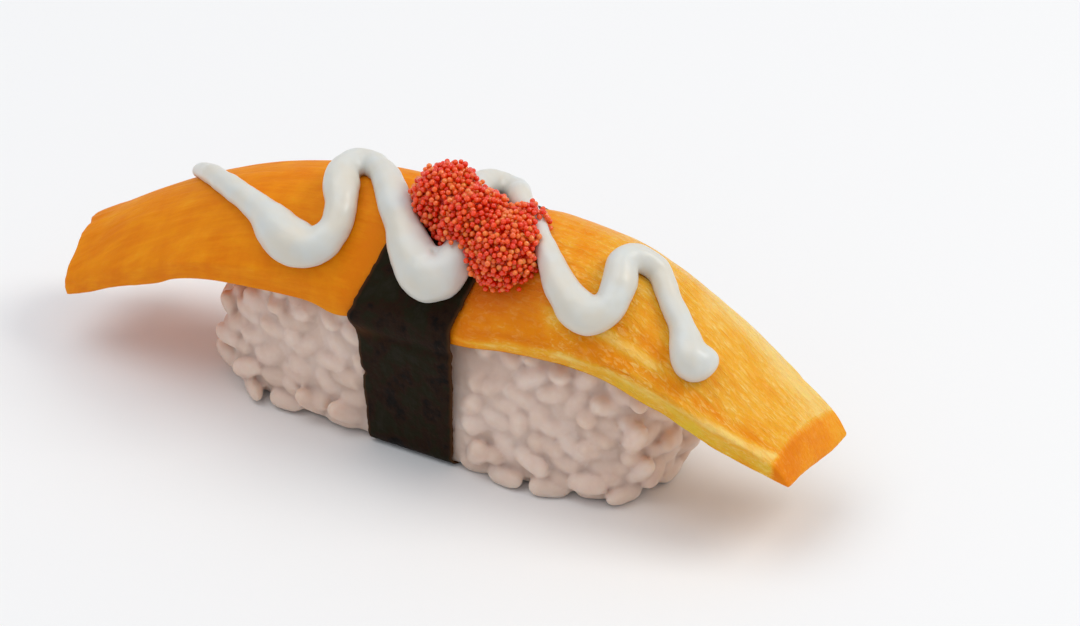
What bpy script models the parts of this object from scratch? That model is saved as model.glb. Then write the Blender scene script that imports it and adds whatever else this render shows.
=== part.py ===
"""Mango nigiri: sushi rice under a bent slice of mango, bound by a seaweed belt,
dressed with a zigzag of mayonnaise and a heap of flying fish roe.

+X runs along the nigiri, -Y is its show side and +Z is up. The origin is the middle of the
base, on the belt's underside. Dimensions here are millimetres; MM turns them to metres.
"""

import math
import random

import bmesh
import bpy
import numpy as np
from mathutils import Euler, Matrix, Vector
from mathutils.bvhtree import BVHTree
from mathutils.geometry import convex_hull_2d

MM = 0.001
GAP = 0.3  # clearance that touching pieces keep

# The mango slice, from its left tip to its right one. Each row is a cross-section:
#   x, y of the ridge, half width, height of the ridge, fall from ridge to edge,
#   thickness at the edges, thickness under the ridge
SLICE_SECTIONS = np.array(
    [
        (-45.6, -3.0, 6.7, 13.5, 4.7, 2.2, 5.0),
        (-35.6, -1.7, 8.9, 19.3, 6.1, 2.5, 6.0),
        (-26.1, -1.0, 10.6, 23.4, 6.3, 2.7, 6.4),
        (-14.7, -0.5, 11.3, 26.4, 7.2, 2.7, 6.6),
        (-4.3, -0.3, 11.4, 27.5, 8.3, 2.7, 6.6),
        (5.2, -0.3, 11.2, 27.6, 8.8, 2.7, 6.6),
        (13.8, -0.3, 10.6, 27.4, 7.5, 2.7, 6.6),
        (21.4, -0.4, 9.9, 26.4, 6.6, 2.7, 6.3),
        (29.9, -0.6, 8.9, 21.7, 4.2, 2.8, 5.7),
        (37.5, -0.9, 7.9, 16.7, 2.5, 2.8, 5.0),
        (44.7, -1.0, 6.7, 12.7, 1.1, 2.5, 3.8),
    ]
)
DOME_POWER = 2.1  # how the top falls across the slice: 2 is a parabola
TIP_BEVEL = 2.2  # length of the sloping cut at the right tip
TIP_EDGE = 0.25  # share of the thickness left at that tip
SLICE_RIM = 0.6  # rounding of the slice's cut edges
SLICE_STEPS = 10  # cross-sections on each side of the belt
SLICE_STEPS_ACROSS = 8

# The rice: a loaf with grains set into its sides
RICE_HALF = Vector((27.7, 10.4, 12.0))
RICE_MIDDLE = 8.5  # height of the loaf's widest level
RICE_FOOT_DEPTH = 16.0  # how far the loaf would reach below that level, cut off at z = 0
PLAN_POWER = 3.4  # squareness seen from above
SIDE_POWER = 3.0  # squareness seen from the end
GRAIN = Vector((6.6, 3.1, 2.5))  # a cooked grain's length, width and thickness
GRAIN_SUNK = 0.15  # depth of a grain's middle below the loaf's face
GRAIN_ROWS = (1.6, 4.6, 7.6, 10.6, 13.6)
GRAIN_SPACING = 5.8
GRAIN_TURN = 0.9  # radians that a grain may lean from level
GRAIN_LIFT = 0.25
GRAIN_SHIFT = 0.6
GRAIN_STRETCH = (0.85, 1.1)
GRAIN_SWELL = 1.08  # makes up for the flat faces of a grain's mesh
BLUNT_TURN = math.radians(58)  # brings a face of the ball to the grain's tip
GRAIN_SEED = 11

# The seaweed belt
BELT_HALF_WIDTH = 5.8
BELT_THICKNESS = 0.4
BELT_SKEW = 2.2  # how far its far side lies to +X of its near side
BELT_SKEW_REACH = 3.0
BELT_NEAR_Y = -12.0
BELT_FOOT_TOP = 15.0  # below this height the near side swerves and narrows to its foot
BELT_FOOT_REACH = 8.0  # distance from the middle where that swerve is whole
BELT_FOOT_SHIFT = 1.2  # how far to -X
BELT_FOOT_TAPER = 0.5  # and by how much on each side
BELT_LEAN_REACH = 14.0  # how far along the slice its cross-sections lean with the belt
BELT_SQUEEZE = 0.8  # how deep it presses into the mango
BELT_SHOULDER = 2.0  # width over which the mango rises beside it
BELT_EDGE_PRESS = 0.5  # share of the squeeze by which the mango's edges move in
BELT_BITE = 0.5  # how deep it presses into the rice
BELT_RICE_TOP = 14.0  # the rice touches the belt up to this height
BELT_POINTS = 48
BELT_COLUMNS = 2
BELT_GROOVE_DEPTH = 4.0  # how much rice is cut away outside the belt's inner face

# The mayonnaise zigzag on the slice: x, y, radius of the bead
SAUCE_KNOTS = np.array(
    [
        (-34.2, 0.7, 0.8),
        (-30.5, -2.0, 1.15),
        (-26.5, -4.5, 1.3),
        (-22.5, -6.4, 1.45),
        (-19.4, -7.7, 1.75),
        (-16.9, -8.9, 2.4),
        (-14.0, -9.8, 2.65),
        (-11.4, -9.6, 2.2),
        (-10.1, -8.2, 1.75),
        (-10.4, -6.2, 1.8),
        (-11.7, -4.1, 2.0),
        (-12.9, -1.7, 1.8),
        (-12.2, 0.7, 1.55),
        (-9.2, -0.4, 1.5),
        (-5.6, -3.6, 1.85),
        (-2.9, -6.0, 1.95),
        (0.2, -8.3, 2.6),
        (2.6, -9.1, 3.1),
        (4.5, -8.3, 2.4),
        (4.8, -5.8, 1.6),
        (3.6, -2.4, 1.5),
        (2.1, 1.2, 1.5),
        (2.3, 4.4, 1.6),
        (4.7, 4.3, 1.5),
        (7.6, 1.0, 1.25),
        (10.3, -1.2, 1.05),
        (12.9, -3.6, 1.1),
        (15.6, -5.9, 1.5),
        (18.2, -7.5, 2.0),
        (20.8, -8.2, 2.2),
        (22.7, -7.0, 1.8),
        (22.6, -4.6, 1.85),
        (21.9, -2.7, 1.75),
        (22.7, -0.9, 1.55),
        (24.8, -0.4, 1.35),
        (27.3, -2.3, 1.3),
        (29.4, -3.7, 1.4),
        (30.9, -5.2, 1.9),
        (32.0, -5.9, 2.2),
        (32.9, -4.9, 1.8),
        (33.6, -3.7, 1.1),
    ]
)
SAUCE_RIDE = 0.35  # height of the bead's middle over the slice, in radii
SAUCE_SAMPLES = 240
SAUCE_TIP = 0.05  # squared share of the radius that is left at the ends
SAUCE_CLEARANCE = 0.4  # over the slice, so that the bead's flat faces clear the belt
SAUCE_VOXEL = 0.5
SAUCE_KEPT = 0.075  # share of the remeshed faces that is kept

# The roe heap: lumps of x, y, radius, height, and the eggs on them
ROE_LUMPS = (
    (0.9, -2.6, 4.1, 5.2),
    (5.4, -4.2, 4.2, 5.2),
    (9.7, -5.6, 4.3, 4.8),
    (10.2, -2.2, 2.2, 2.8),
)
EGG_RADIUS = 0.45
EGG_SPACING = 1.08
EGG_SUNK = 0.08
ROE_VOXEL = 0.6
HEAP_KEPT = 0.15
ROE_SEED = 5

# Colours, as linear RGB, and roughness
MANGO = ((0.78, 0.30, 0.02), 0.28)
RICE = ((0.80, 0.73, 0.66), 0.45)
SEAWEED = ((0.012, 0.013, 0.010), 0.5)
SAUCE = ((0.86, 0.84, 0.78), 0.3)
ROE = ((0.80, 0.08, 0.02), 0.15)


# ---- Forms ----------------------------------------------------------------------


def spline(x, knots, values):
    """Catmull-Rom curve through the values at the knots."""
    slopes = np.gradient(values, knots)
    i = int(np.clip(np.searchsorted(knots, x) - 1, 0, len(knots) - 2))
    step = knots[i + 1] - knots[i]
    t = min(max((x - knots[i]) / step, 0.0), 1.0)
    return float(
        (2 * t**3 - 3 * t**2 + 1) * values[i]
        + (t**3 - 2 * t**2 + t) * step * slopes[i]
        + (3 * t**2 - 2 * t**3) * values[i + 1]
        + (t**3 - t**2) * step * slopes[i + 1]
    )


def slice_section(x):
    """Ridge y, half width, ridge height, fall, edge thickness and thickness at x."""
    knots = SLICE_SECTIONS[:, 0]
    return [spline(x, knots, SLICE_SECTIONS[:, k]) for k in range(1, 7)]


def slice_top(x, y):
    """Height of the slice's top, as it would be with no belt."""
    middle, half, ridge, fall, _, _ = slice_section(x)
    q = min(abs(y - middle) / half, 1.0)
    return ridge - fall * q**DOME_POWER


def slice_top_normal(x, y):
    reach = 0.05
    along = slice_top(x + reach, y) - slice_top(x - reach, y)
    across = slice_top(x, y + reach) - slice_top(x, y - reach)
    return Vector((-along, -across, 2 * reach)).normalized()


def belt_middle(y):
    """The belt's centre line: it swings to +X from the near side to the far one."""
    return BELT_SKEW * (1 - math.exp(-max(y - BELT_NEAR_Y, 0.0) / BELT_SKEW_REACH))


def belt_squeeze(x, y):
    """How far the belt presses the mango in at (x, y)."""
    t = (abs(x - belt_middle(y)) - BELT_HALF_WIDTH) / BELT_SHOULDER
    t = min(max(t, 0.0), 1.0)
    return BELT_SQUEEZE * (1 - t * t * (3 - 2 * t))


def slice_skin(x, q):
    """The slice's y, top and bottom at x, at share q of its half width, under the belt."""
    middle, half, ridge, fall, edge, thick = slice_section(x)
    y = middle + q * half
    pressed = belt_squeeze(x, y)
    top = ridge - fall * abs(q) ** DOME_POWER
    bottom = top - edge - (thick - edge) * (1 - q * q)
    y -= math.copysign(BELT_EDGE_PRESS * pressed, q) * q**4
    return y, top - pressed, bottom


def rice_half_width(x, z):
    """Half the loaf's width at (x, z)."""
    reach = RICE_HALF.z if z > RICE_MIDDLE else RICE_FOOT_DEPTH
    level = 1 - (abs(z - RICE_MIDDLE) / reach) ** SIDE_POWER
    plan = level ** (PLAN_POWER / SIDE_POWER) - (abs(x) / RICE_HALF.x) ** PLAN_POWER
    return RICE_HALF.y * max(plan, 0.0) ** (1 / PLAN_POWER)


def rice_face(direction):
    """The point of the loaf's face in a direction, given as shares of its half sizes."""
    plan = abs(direction.x) ** PLAN_POWER + abs(direction.y) ** PLAN_POWER
    side = plan ** (SIDE_POWER / PLAN_POWER) + abs(direction.z) ** SIDE_POWER
    share = direction * side ** (-1 / SIDE_POWER)
    reach = RICE_HALF.z if share.z > 0 else RICE_FOOT_DEPTH
    height = RICE_MIDDLE + share.z * reach
    return Vector((share.x * RICE_HALF.x, share.y * RICE_HALF.y, height))


def belt_outline(x, clearance):
    """BELT_POINTS points (y, z) round what the belt binds at x, evenly spaced."""
    bound = []
    for q in np.linspace(-1, 1, 25):
        y, top, bottom = slice_skin(x, q)
        bound += [Vector((y, top)), Vector((y, bottom))]
    for z in np.linspace(GAP + BELT_THICKNESS, BELT_RICE_TOP, 12):
        y = rice_half_width(x, z) - BELT_BITE
        bound += [Vector((y, z)), Vector((-y, z))]
    angles = np.linspace(0, 2 * math.pi, 16, endpoint=False)
    around = [Vector((math.cos(a), math.sin(a))) * clearance for a in angles]
    grown = [p + a for p in bound for a in around]
    hull = np.array([grown[i] for i in convex_hull_2d(grown)])
    # Runs once round from the lowest corner on the far side
    start = max(range(len(hull)), key=lambda i: (-round(hull[i, 1], 3), hull[i, 0]))
    hull = np.roll(hull, -start, axis=0)
    hull = np.vstack([hull, hull[:1]])
    run = np.concatenate([[0], np.cumsum(np.linalg.norm(np.diff(hull, axis=0), axis=1))])
    at = np.linspace(0, run[-1], BELT_POINTS, endpoint=False)
    return np.stack([np.interp(at, run, hull[:, k]) for k in (0, 1)], axis=1)


# ---- Blender helpers --------------------------------------------------------------


def clear_scene():
    for obj in list(bpy.data.objects):
        bpy.data.objects.remove(obj)


def collection(name, hidden=False):
    made = bpy.data.collections.new(name)
    bpy.context.scene.collection.children.link(made)
    made.hide_render = hidden
    return made


def material(name, look):
    made = bpy.data.materials.new(name)
    made.use_nodes = True
    shader = made.node_tree.nodes["Principled BSDF"]
    shader.inputs["Base Color"].default_value = (*look[0], 1)
    shader.inputs["Roughness"].default_value = look[1]
    made.diffuse_color = (*look[0], 1)
    return made


def add_object(name, mesh, home, parent=None):
    """A new object for a mesh that is in millimetres."""
    mesh.transform(Matrix.Scale(MM, 4))
    obj = bpy.data.objects.new(name, mesh)
    obj.parent = parent
    home.objects.link(obj)
    return obj


def mesh_of(bm, name):
    """Turns a bmesh to a mesh and frees it. A closed one gets its faces pointing out."""
    if all(e.is_manifold for e in bm.edges):
        bmesh.ops.recalc_face_normals(bm, faces=bm.faces[:])
    mesh = bpy.data.meshes.new(name)
    bm.to_mesh(mesh)
    bm.free()
    return mesh


def bake(obj):
    """Applies every modifier of an object, or turns a curve to a mesh object."""
    graph = bpy.context.evaluated_depsgraph_get()
    mesh = bpy.data.meshes.new_from_object(obj.evaluated_get(graph))
    if obj.type == "MESH":
        obj.modifiers.clear()
        obj.data = mesh
        return obj
    name, home = obj.name, obj.users_collection[0]
    bpy.data.objects.remove(obj)
    made = bpy.data.objects.new(name, mesh)
    home.objects.link(made)
    return made


def boolean(obj, operation, other):
    """Joins or cuts with a whole collection or with one object, and applies it."""
    modifier = obj.modifiers.new(operation.title(), "BOOLEAN")
    modifier.operation = operation
    modifier.solver = "MANIFOLD"  # EXACT leaves open edges among the grains
    if isinstance(other, bpy.types.Collection):
        modifier.operand_type = "COLLECTION"
        modifier.collection = other
    else:
        modifier.object = other
    bake(obj)


def keep_largest_body(obj):
    """Drops the scraps that a cut leaves loose."""
    bm = bmesh.new()
    bm.from_mesh(obj.data)
    left, bodies = set(bm.verts), []
    while left:
        body, front = set(), [left.pop()]
        while front:
            vertex = front.pop()
            body.add(vertex)
            for edge in vertex.link_edges:
                other = edge.other_vert(vertex)
                if other in left:
                    left.discard(other)
                    front.append(other)
        bodies.append(body)
    bodies.sort(key=len)
    for body in bodies[:-1]:
        bmesh.ops.delete(bm, geom=list(body), context="VERTS")
    bm.to_mesh(obj.data)
    bm.free()


def empty_out(home):
    """Removes a helper collection with its objects."""
    for obj in list(home.objects):
        bpy.data.objects.remove(obj)
    bpy.data.collections.remove(home)


# ---- Pieces -----------------------------------------------------------------------


def slice_stations():
    """Where the slice's cross-sections stand: close together at the belt's edges."""
    side, edge = BELT_HALF_WIDTH + BELT_SHOULDER, BELT_HALF_WIDTH
    left, right = SLICE_SECTIONS[0, 0], SLICE_SECTIONS[-1, 0]
    runs = (
        np.linspace(left, -side, SLICE_STEPS, endpoint=False),
        np.linspace(-side, -edge, 3, endpoint=False),
        np.linspace(-edge, edge, 4, endpoint=False),
        np.linspace(edge, side, 3, endpoint=False),
        np.linspace(side, right - TIP_BEVEL, SLICE_STEPS - 1, endpoint=False),
        np.linspace(right - TIP_BEVEL, right, 4),
    )
    return np.concatenate(runs)


def slice_mesh(clearance=0.0):
    """The mango slice as a subdivided block bent to its sections, grown by a clearance."""
    stations = slice_stations()
    bm = bmesh.new()
    bmesh.ops.create_cube(bm, size=2)
    for axis, cuts in ((0, len(stations) - 2), (1, SLICE_STEPS_ACROSS - 1)):
        edges = [
            e
            for e in bm.edges
            if abs(e.verts[0].co[axis] - e.verts[1].co[axis]) > 1e-6
        ]
        bmesh.ops.subdivide_edges(bm, edges=edges, cuts=cuts, use_grid_fill=True)
    right = stations[-1]
    for vertex in bm.verts:
        along, q, side = vertex.co
        x = stations[round((along + 1) / 2 * (len(stations) - 1))]
        lean = math.exp(-((x / BELT_LEAN_REACH) ** 4))
        x += belt_middle(slice_skin(x, q)[0]) * lean
        y, top, bottom = slice_skin(x, q)
        cut = min((right - x) / TIP_BEVEL, 1.0)
        cut = TIP_EDGE + (1 - TIP_EDGE) * math.sin(cut * math.pi / 2)
        top = bottom + (top - bottom) * cut
        vertex.co = (
            x + along * clearance,
            y + q * clearance,
            top + clearance if side > 0 else bottom - clearance,
        )
    return mesh_of(bm, "mango_slice")


def build_mango(home, parent):
    obj = add_object("mango_slice", slice_mesh(), home, parent)
    obj.data.materials.append(material("mango_flesh", MANGO))
    rim = obj.modifiers.new("Rim", "BEVEL")
    rim.width = SLICE_RIM * MM
    rim.segments = 1
    rim.limit_method = "ANGLE"
    rim.angle_limit = math.radians(40)
    obj.data.shade_smooth()
    obj.data.set_sharp_from_angle(angle=math.radians(35))
    return obj


def strip_mesh(half_width, clearance):
    """The belt's inner face: an open tube round rice and mango."""
    bm = bmesh.new()
    bmesh.ops.create_cone(
        bm, cap_ends=False, segments=BELT_POINTS, radius1=1, radius2=1, depth=2
    )
    rungs = [e for e in bm.edges if abs(e.verts[0].co.z - e.verts[1].co.z) > 1e-6]
    bmesh.ops.subdivide_edges(bm, edges=rungs, cuts=BELT_COLUMNS - 1)
    for vertex in bm.verts:
        turn = math.atan2(vertex.co.y, vertex.co.x) / (2 * math.pi)
        index = round(turn * BELT_POINTS) % BELT_POINTS
        offset = vertex.co.z * half_width
        y = belt_outline(offset, clearance)[index][0]
        x = belt_middle(y) + offset
        y, z = belt_outline(x, clearance)[index]
        foot = max(1 - z / BELT_FOOT_TOP, 0.0) * min(max(-y, 0.0) / BELT_FOOT_REACH, 1.0)
        x -= foot * (BELT_FOOT_SHIFT + BELT_FOOT_TAPER * vertex.co.z)
        vertex.co = (x, y, z)
    return mesh_of(bm, "seaweed_belt")


def add_thickness(obj, thickness):
    """Thickens a strip outwards."""
    wall = obj.modifiers.new("Wall", "SOLIDIFY")
    wall.thickness = thickness * MM
    wall.offset = 1
    wall.use_even_offset = True


def build_belt(home, parent):
    strip = strip_mesh(BELT_HALF_WIDTH, GAP)
    obj = add_object("seaweed_belt", strip, home, parent)
    obj.data.materials.append(material("seaweed", SEAWEED))
    add_thickness(obj, BELT_THICKNESS)
    obj.data.shade_smooth()
    return obj


def grain_mesh():
    """One cooked grain: a ball of 20 faces drawn out to the grain's size, blunt ends."""
    bm = bmesh.new()
    bmesh.ops.create_icosphere(bm, subdivisions=1, radius=0.5)
    bmesh.ops.rotate(bm, matrix=Matrix.Rotation(BLUNT_TURN, 3, "Y"), verts=bm.verts)
    bmesh.ops.scale(bm, vec=GRAIN * GRAIN_SWELL, verts=bm.verts)
    return mesh_of(bm, "grain")


def rice_normal(point):
    """The loaf's outward direction at a point of its face."""
    high = point.z > RICE_MIDDLE
    share = Vector(
        (
            point.x / RICE_HALF.x,
            point.y / RICE_HALF.y,
            (point.z - RICE_MIDDLE) / (RICE_HALF.z if high else RICE_FOOT_DEPTH),
        )
    )
    plan = abs(share.x) ** PLAN_POWER + abs(share.y) ** PLAN_POWER
    steep = plan ** (SIDE_POWER / PLAN_POWER - 1)
    return Vector(
        (
            steep * math.copysign(abs(share.x) ** (PLAN_POWER - 1), share.x) / RICE_HALF.x,
            steep * math.copysign(abs(share.y) ** (PLAN_POWER - 1), share.y) / RICE_HALF.y,
            math.copysign(abs(share.z) ** (SIDE_POWER - 1), share.z) / RICE_HALF.z,
        )
    ).normalized()


def rice_ring(z):
    """Points evenly spaced round the loaf's face at height z."""
    reach = RICE_HALF.z if z > RICE_MIDDLE else RICE_FOOT_DEPTH
    level = (1 - (abs(z - RICE_MIDDLE) / reach) ** SIDE_POWER) ** (1 / SIDE_POWER)
    points = []
    for angle in np.linspace(0, 2 * math.pi, 721):
        c, s = math.cos(angle), math.sin(angle)
        share = level * (abs(c) ** PLAN_POWER + abs(s) ** PLAN_POWER) ** (-1 / PLAN_POWER)
        points.append((c * share * RICE_HALF.x, s * share * RICE_HALF.y))
    points = np.array(points)
    steps = np.linalg.norm(np.diff(points, axis=0), axis=1)
    run = np.concatenate([[0], np.cumsum(steps)])
    count = round(run[-1] / GRAIN_SPACING)
    at = (np.arange(count) + 0.5 * (GRAIN_ROWS.index(z) % 2)) * run[-1] / count
    return [
        Vector((np.interp(a, run, points[:, 0]), np.interp(a, run, points[:, 1]), z))
        for a in at
    ]


def scatter_grains(home):
    """Sets grains into the loaf's sides in staggered rows, each at its own angle."""
    draw = random.Random(GRAIN_SEED)
    for z in GRAIN_ROWS:
        for point in rice_ring(z):
            spin = draw.uniform(-GRAIN_TURN, GRAIN_TURN)
            lift = draw.uniform(-GRAIN_LIFT, GRAIN_LIFT)
            size = draw.uniform(*GRAIN_STRETCH)
            shift = draw.uniform(-GRAIN_SHIFT, GRAIN_SHIFT)
            if abs(point.x - belt_middle(point.y)) < BELT_HALF_WIDTH + GAP:
                continue
            out = rice_normal(point)
            seat = point + Vector((0, 0, shift)) - out * (GRAIN_SUNK + lift)
            across = Vector((0, 0, 1)).cross(out).normalized()
            turn = Matrix.Rotation(spin, 3, out)
            along = turn @ across
            frame = Matrix((along, out.cross(along), out)).transposed().to_4x4()
            mesh = grain_mesh()
            mesh.transform(
                Matrix.Translation(seat) @ frame @ Matrix.Diagonal((size, 1, 1, 1))
            )
            add_object("grain", mesh, home)


def block_mesh(low, high):
    bm = bmesh.new()
    bmesh.ops.create_cube(bm, size=1)
    size = Vector(high) - Vector(low)
    bmesh.ops.scale(bm, vec=size, verts=bm.verts)
    bmesh.ops.translate(bm, vec=(Vector(high) + Vector(low)) / 2, verts=bm.verts)
    return mesh_of(bm, "block")


def build_rice(home, parent):
    bm = bmesh.new()
    bmesh.ops.create_uvsphere(bm, u_segments=24, v_segments=12, radius=1)
    for vertex in bm.verts:
        vertex.co = rice_face(vertex.co.normalized())
    obj = add_object("rice_block", mesh_of(bm, "rice_block"), home, parent)
    grains = collection("grains", hidden=True)
    scatter_grains(grains)
    boolean(obj, "UNION", grains)
    empty_out(grains)

    cutters = collection("rice_cutters", hidden=True)
    floor = block_mesh((-60, -40, -20), (60, 40, 0))
    cover = slice_mesh(clearance=GAP)
    groove = add_object("groove", strip_mesh(BELT_HALF_WIDTH + GAP, 0.0), cutters)
    add_thickness(groove, BELT_GROOVE_DEPTH)
    add_object("floor", floor, cutters)
    add_object("cover", cover, cutters)
    for cutter in list(cutters.objects):
        boolean(obj, "DIFFERENCE", bake(cutter))
    empty_out(cutters)
    keep_largest_body(obj)
    obj.data.materials.clear()
    obj.data.materials.append(material("sushi_rice", RICE))
    return obj


def sauce_path():
    """Points and radii along the bead, just above the slice; its ends are round."""
    knots = np.arange(len(SAUCE_KNOTS))
    at = np.linspace(0, knots[-1], SAUCE_SAMPLES)
    rows = np.array([[spline(t, knots, SAUCE_KNOTS[:, k]) for k in range(3)] for t in at])
    steps = np.linalg.norm(np.diff(rows[:, :2], axis=0), axis=1)
    run = np.concatenate([[0], np.cumsum(steps)])
    to_end = np.clip(np.minimum(run, run[-1] - run) / rows[:, 2], 0, 1)
    rows[:, 2] *= np.sqrt(np.maximum(1 - (1 - to_end) ** 2, SAUCE_TIP))
    path = []
    for x, y, radius in rows:
        foot = Vector((x, y, slice_top(x, y) + GAP))
        path.append((foot + slice_top_normal(x, y) * SAUCE_RIDE * radius, radius))
    return path


def rest_on_slice(obj, clearance):
    """Lifts what reaches too near the slice's top to a clearance above it."""
    for vertex in obj.data.vertices:
        x, y, z = vertex.co / MM
        vertex.co.z = max(z, slice_top(x, y) + clearance) * MM


def smooth_skin(obj, voxel, kept):
    """Fuses a rough form to one skin and thins its faces."""
    skin = obj.modifiers.new("Skin", "REMESH")
    skin.mode = "VOXEL"
    skin.voxel_size = voxel * MM
    soften = obj.modifiers.new("Soften", "SMOOTH")
    soften.iterations = 4
    thin = obj.modifiers.new("Thin", "DECIMATE")
    thin.ratio = kept
    bake(obj)


def build_mayonnaise(home, parent):
    curve = bpy.data.curves.new("mayonnaise", "CURVE")
    curve.dimensions = "3D"
    curve.bevel_depth = MM
    curve.bevel_resolution = 4
    curve.use_fill_caps = True
    line = curve.splines.new("POLY")
    path = sauce_path()
    line.points.add(len(path) - 1)
    for point, (place, radius) in zip(line.points, path):
        point.co = (*(place * MM), 1)
        point.radius = radius
    tube = bpy.data.objects.new("mayonnaise", curve)
    home.objects.link(tube)
    obj = bake(tube)
    obj.parent = parent
    smooth_skin(obj, SAUCE_VOXEL, SAUCE_KEPT)
    rest_on_slice(obj, SAUCE_CLEARANCE)
    obj.data.materials.append(material("mayonnaise", SAUCE))
    obj.data.shade_smooth()
    return obj


def lump_mesh(x, y, radius, height):
    """A ball sunk into the slice's top, drawn out along its normal."""
    bm = bmesh.new()
    bmesh.ops.create_uvsphere(bm, u_segments=24, v_segments=12, radius=1)
    bmesh.ops.scale(bm, vec=(radius, radius, height), verts=bm.verts)
    tilt = Vector((0, 0, 1)).rotation_difference(slice_top_normal(x, y))
    bmesh.ops.rotate(bm, matrix=tilt.to_matrix(), verts=bm.verts)
    bmesh.ops.translate(bm, vec=(x, y, slice_top(x, y)), verts=bm.verts)
    return mesh_of(bm, "lump")


def egg_mesh(turn):
    bm = bmesh.new()
    bmesh.ops.create_icosphere(bm, subdivisions=1, radius=EGG_RADIUS)
    bmesh.ops.rotate(bm, matrix=turn.to_matrix(), verts=bm.verts)
    return mesh_of(bm, "egg")


def scatter_eggs(heap, mayonnaise, home):
    """Sets eggs all over the heap, clear of the mayonnaise and of the slice."""
    draw = random.Random(ROE_SEED)
    graph = bpy.context.evaluated_depsgraph_get()
    tree = BVHTree.FromObject(mayonnaise, graph)
    seats = [(p.center / MM, p.normal.copy()) for p in heap.data.polygons]
    draw.shuffle(seats)
    taken = []
    for face, out in seats:
        seat = face - out * EGG_SUNK
        height = seat.z - slice_top(seat.x, seat.y)
        sauce = tree.find_nearest(seat * MM)[3] / MM
        if height < EGG_RADIUS + 2 * GAP or sauce < EGG_RADIUS + 1.5 * GAP:
            continue
        if any((seat - other).length < EGG_SPACING for other in taken):
            continue
        taken.append(seat)
        turn = Euler([draw.uniform(0, math.pi) for _ in range(3)])
        mesh = egg_mesh(turn)
        mesh.transform(Matrix.Translation(seat))
        add_object("egg", mesh, home)


def build_roe(home, parent, mayonnaise):
    rough = collection("roe_lumps", hidden=True)
    lumps = [add_object("lump", lump_mesh(*lump), rough) for lump in ROE_LUMPS]
    obj = lumps[0]
    for lump in lumps[1:]:
        boolean(obj, "UNION", lump)
    smooth_skin(obj, ROE_VOXEL, 1.0)
    rest_on_slice(obj, GAP)
    obj.name = "flying_fish_roe"
    obj.parent = parent
    home.objects.link(obj)
    rough.objects.unlink(obj)
    empty_out(rough)

    eggs = collection("eggs", hidden=True)
    scatter_eggs(obj, mayonnaise, eggs)
    thin = obj.modifiers.new("Thin", "DECIMATE")
    thin.ratio = HEAP_KEPT
    bake(obj)
    boolean(obj, "UNION", eggs)
    empty_out(eggs)

    cutters = collection("roe_cutters", hidden=True)
    grown = bpy.data.objects.new("grown_mayonnaise", mayonnaise.data.copy())
    cutters.objects.link(grown)
    swell = grown.modifiers.new("Swell", "DISPLACE")
    swell.strength = GAP * MM
    swell.mid_level = 0
    boolean(obj, "DIFFERENCE", bake(grown))
    empty_out(cutters)
    keep_largest_body(obj)
    obj.data.materials.clear()
    obj.data.materials.append(material("flying_fish_roe", ROE))
    return obj


def main():
    clear_scene()
    nigiri = collection("mango_nigiri")
    base = bpy.data.objects.new("base", None)
    nigiri.objects.link(base)
    build_mango(nigiri, base)
    build_belt(nigiri, base)
    build_rice(nigiri, base)
    mayonnaise = build_mayonnaise(nigiri, base)
    build_roe(nigiri, base, mayonnaise)


main()
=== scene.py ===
"""Looks of a mango nigiri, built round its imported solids.

The nigiri lies along +X with its show side to -Y and its base at z = 0. Shapes are worked out
in millimetres and turned to metres where a mesh is written.
"""

import logging
import math
from dataclasses import dataclass
from enum import Enum
from functools import partial
from typing import Sequence

import bpy
import numpy as np
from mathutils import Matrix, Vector, kdtree, noise
from mathutils.geometry import convex_hull_2d


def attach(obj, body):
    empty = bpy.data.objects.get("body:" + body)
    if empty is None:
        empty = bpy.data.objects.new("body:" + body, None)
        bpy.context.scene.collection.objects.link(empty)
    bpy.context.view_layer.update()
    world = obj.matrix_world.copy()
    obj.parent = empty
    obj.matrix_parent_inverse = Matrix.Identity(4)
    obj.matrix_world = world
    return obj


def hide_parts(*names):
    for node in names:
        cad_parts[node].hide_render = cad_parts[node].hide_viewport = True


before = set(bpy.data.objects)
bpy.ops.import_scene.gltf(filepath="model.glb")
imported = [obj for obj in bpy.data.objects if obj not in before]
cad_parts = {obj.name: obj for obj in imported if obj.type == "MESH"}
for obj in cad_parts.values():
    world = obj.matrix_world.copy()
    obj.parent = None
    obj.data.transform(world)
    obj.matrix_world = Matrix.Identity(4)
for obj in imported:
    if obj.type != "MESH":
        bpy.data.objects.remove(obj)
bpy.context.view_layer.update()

LOG = logging.getLogger("nigiri")
MM = 0.001
BODY = "root"


class Axis(Enum):
    """The axes of a piece, as indices of a coordinate."""

    X = 0
    Y = 1
    Z = 2


# ---- Colour and node helpers ------------------------------------------------------------


def linear(code: str) -> tuple[float, float, float, float]:
    """Turns an sRGB hex colour to linear RGBA.

    Args:
        code: The colour as "#RRGGBB".

    Returns:
        Red, green, blue and an alpha of 1, in linear light.
    """
    shares = [int(code[i : i + 2], 16) / 255 for i in (1, 3, 5)]
    toe, slope, offset, power = 0.04045, 12.92, 0.055, 2.4
    light = [s / slope if s <= toe else ((s + offset) / (1 + offset)) ** power for s in shares]
    return (*light, 1.0)


def connect(tree: bpy.types.NodeTree, node: bpy.types.Node, **links: bpy.types.NodeSocket) -> None:
    """Links outputs to a node's inputs.

    Args:
        tree: The material's node tree.
        node: The node.
        links: Outputs by the input's name; its underscores stand for spaces, and "in_2"
            stands for the input at index 2.
    """
    for key, output in links.items():
        socket = int(key[3:]) if key.startswith("in_") else key.replace("_", " ")
        tree.links.new(output, node.inputs[socket])


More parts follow.
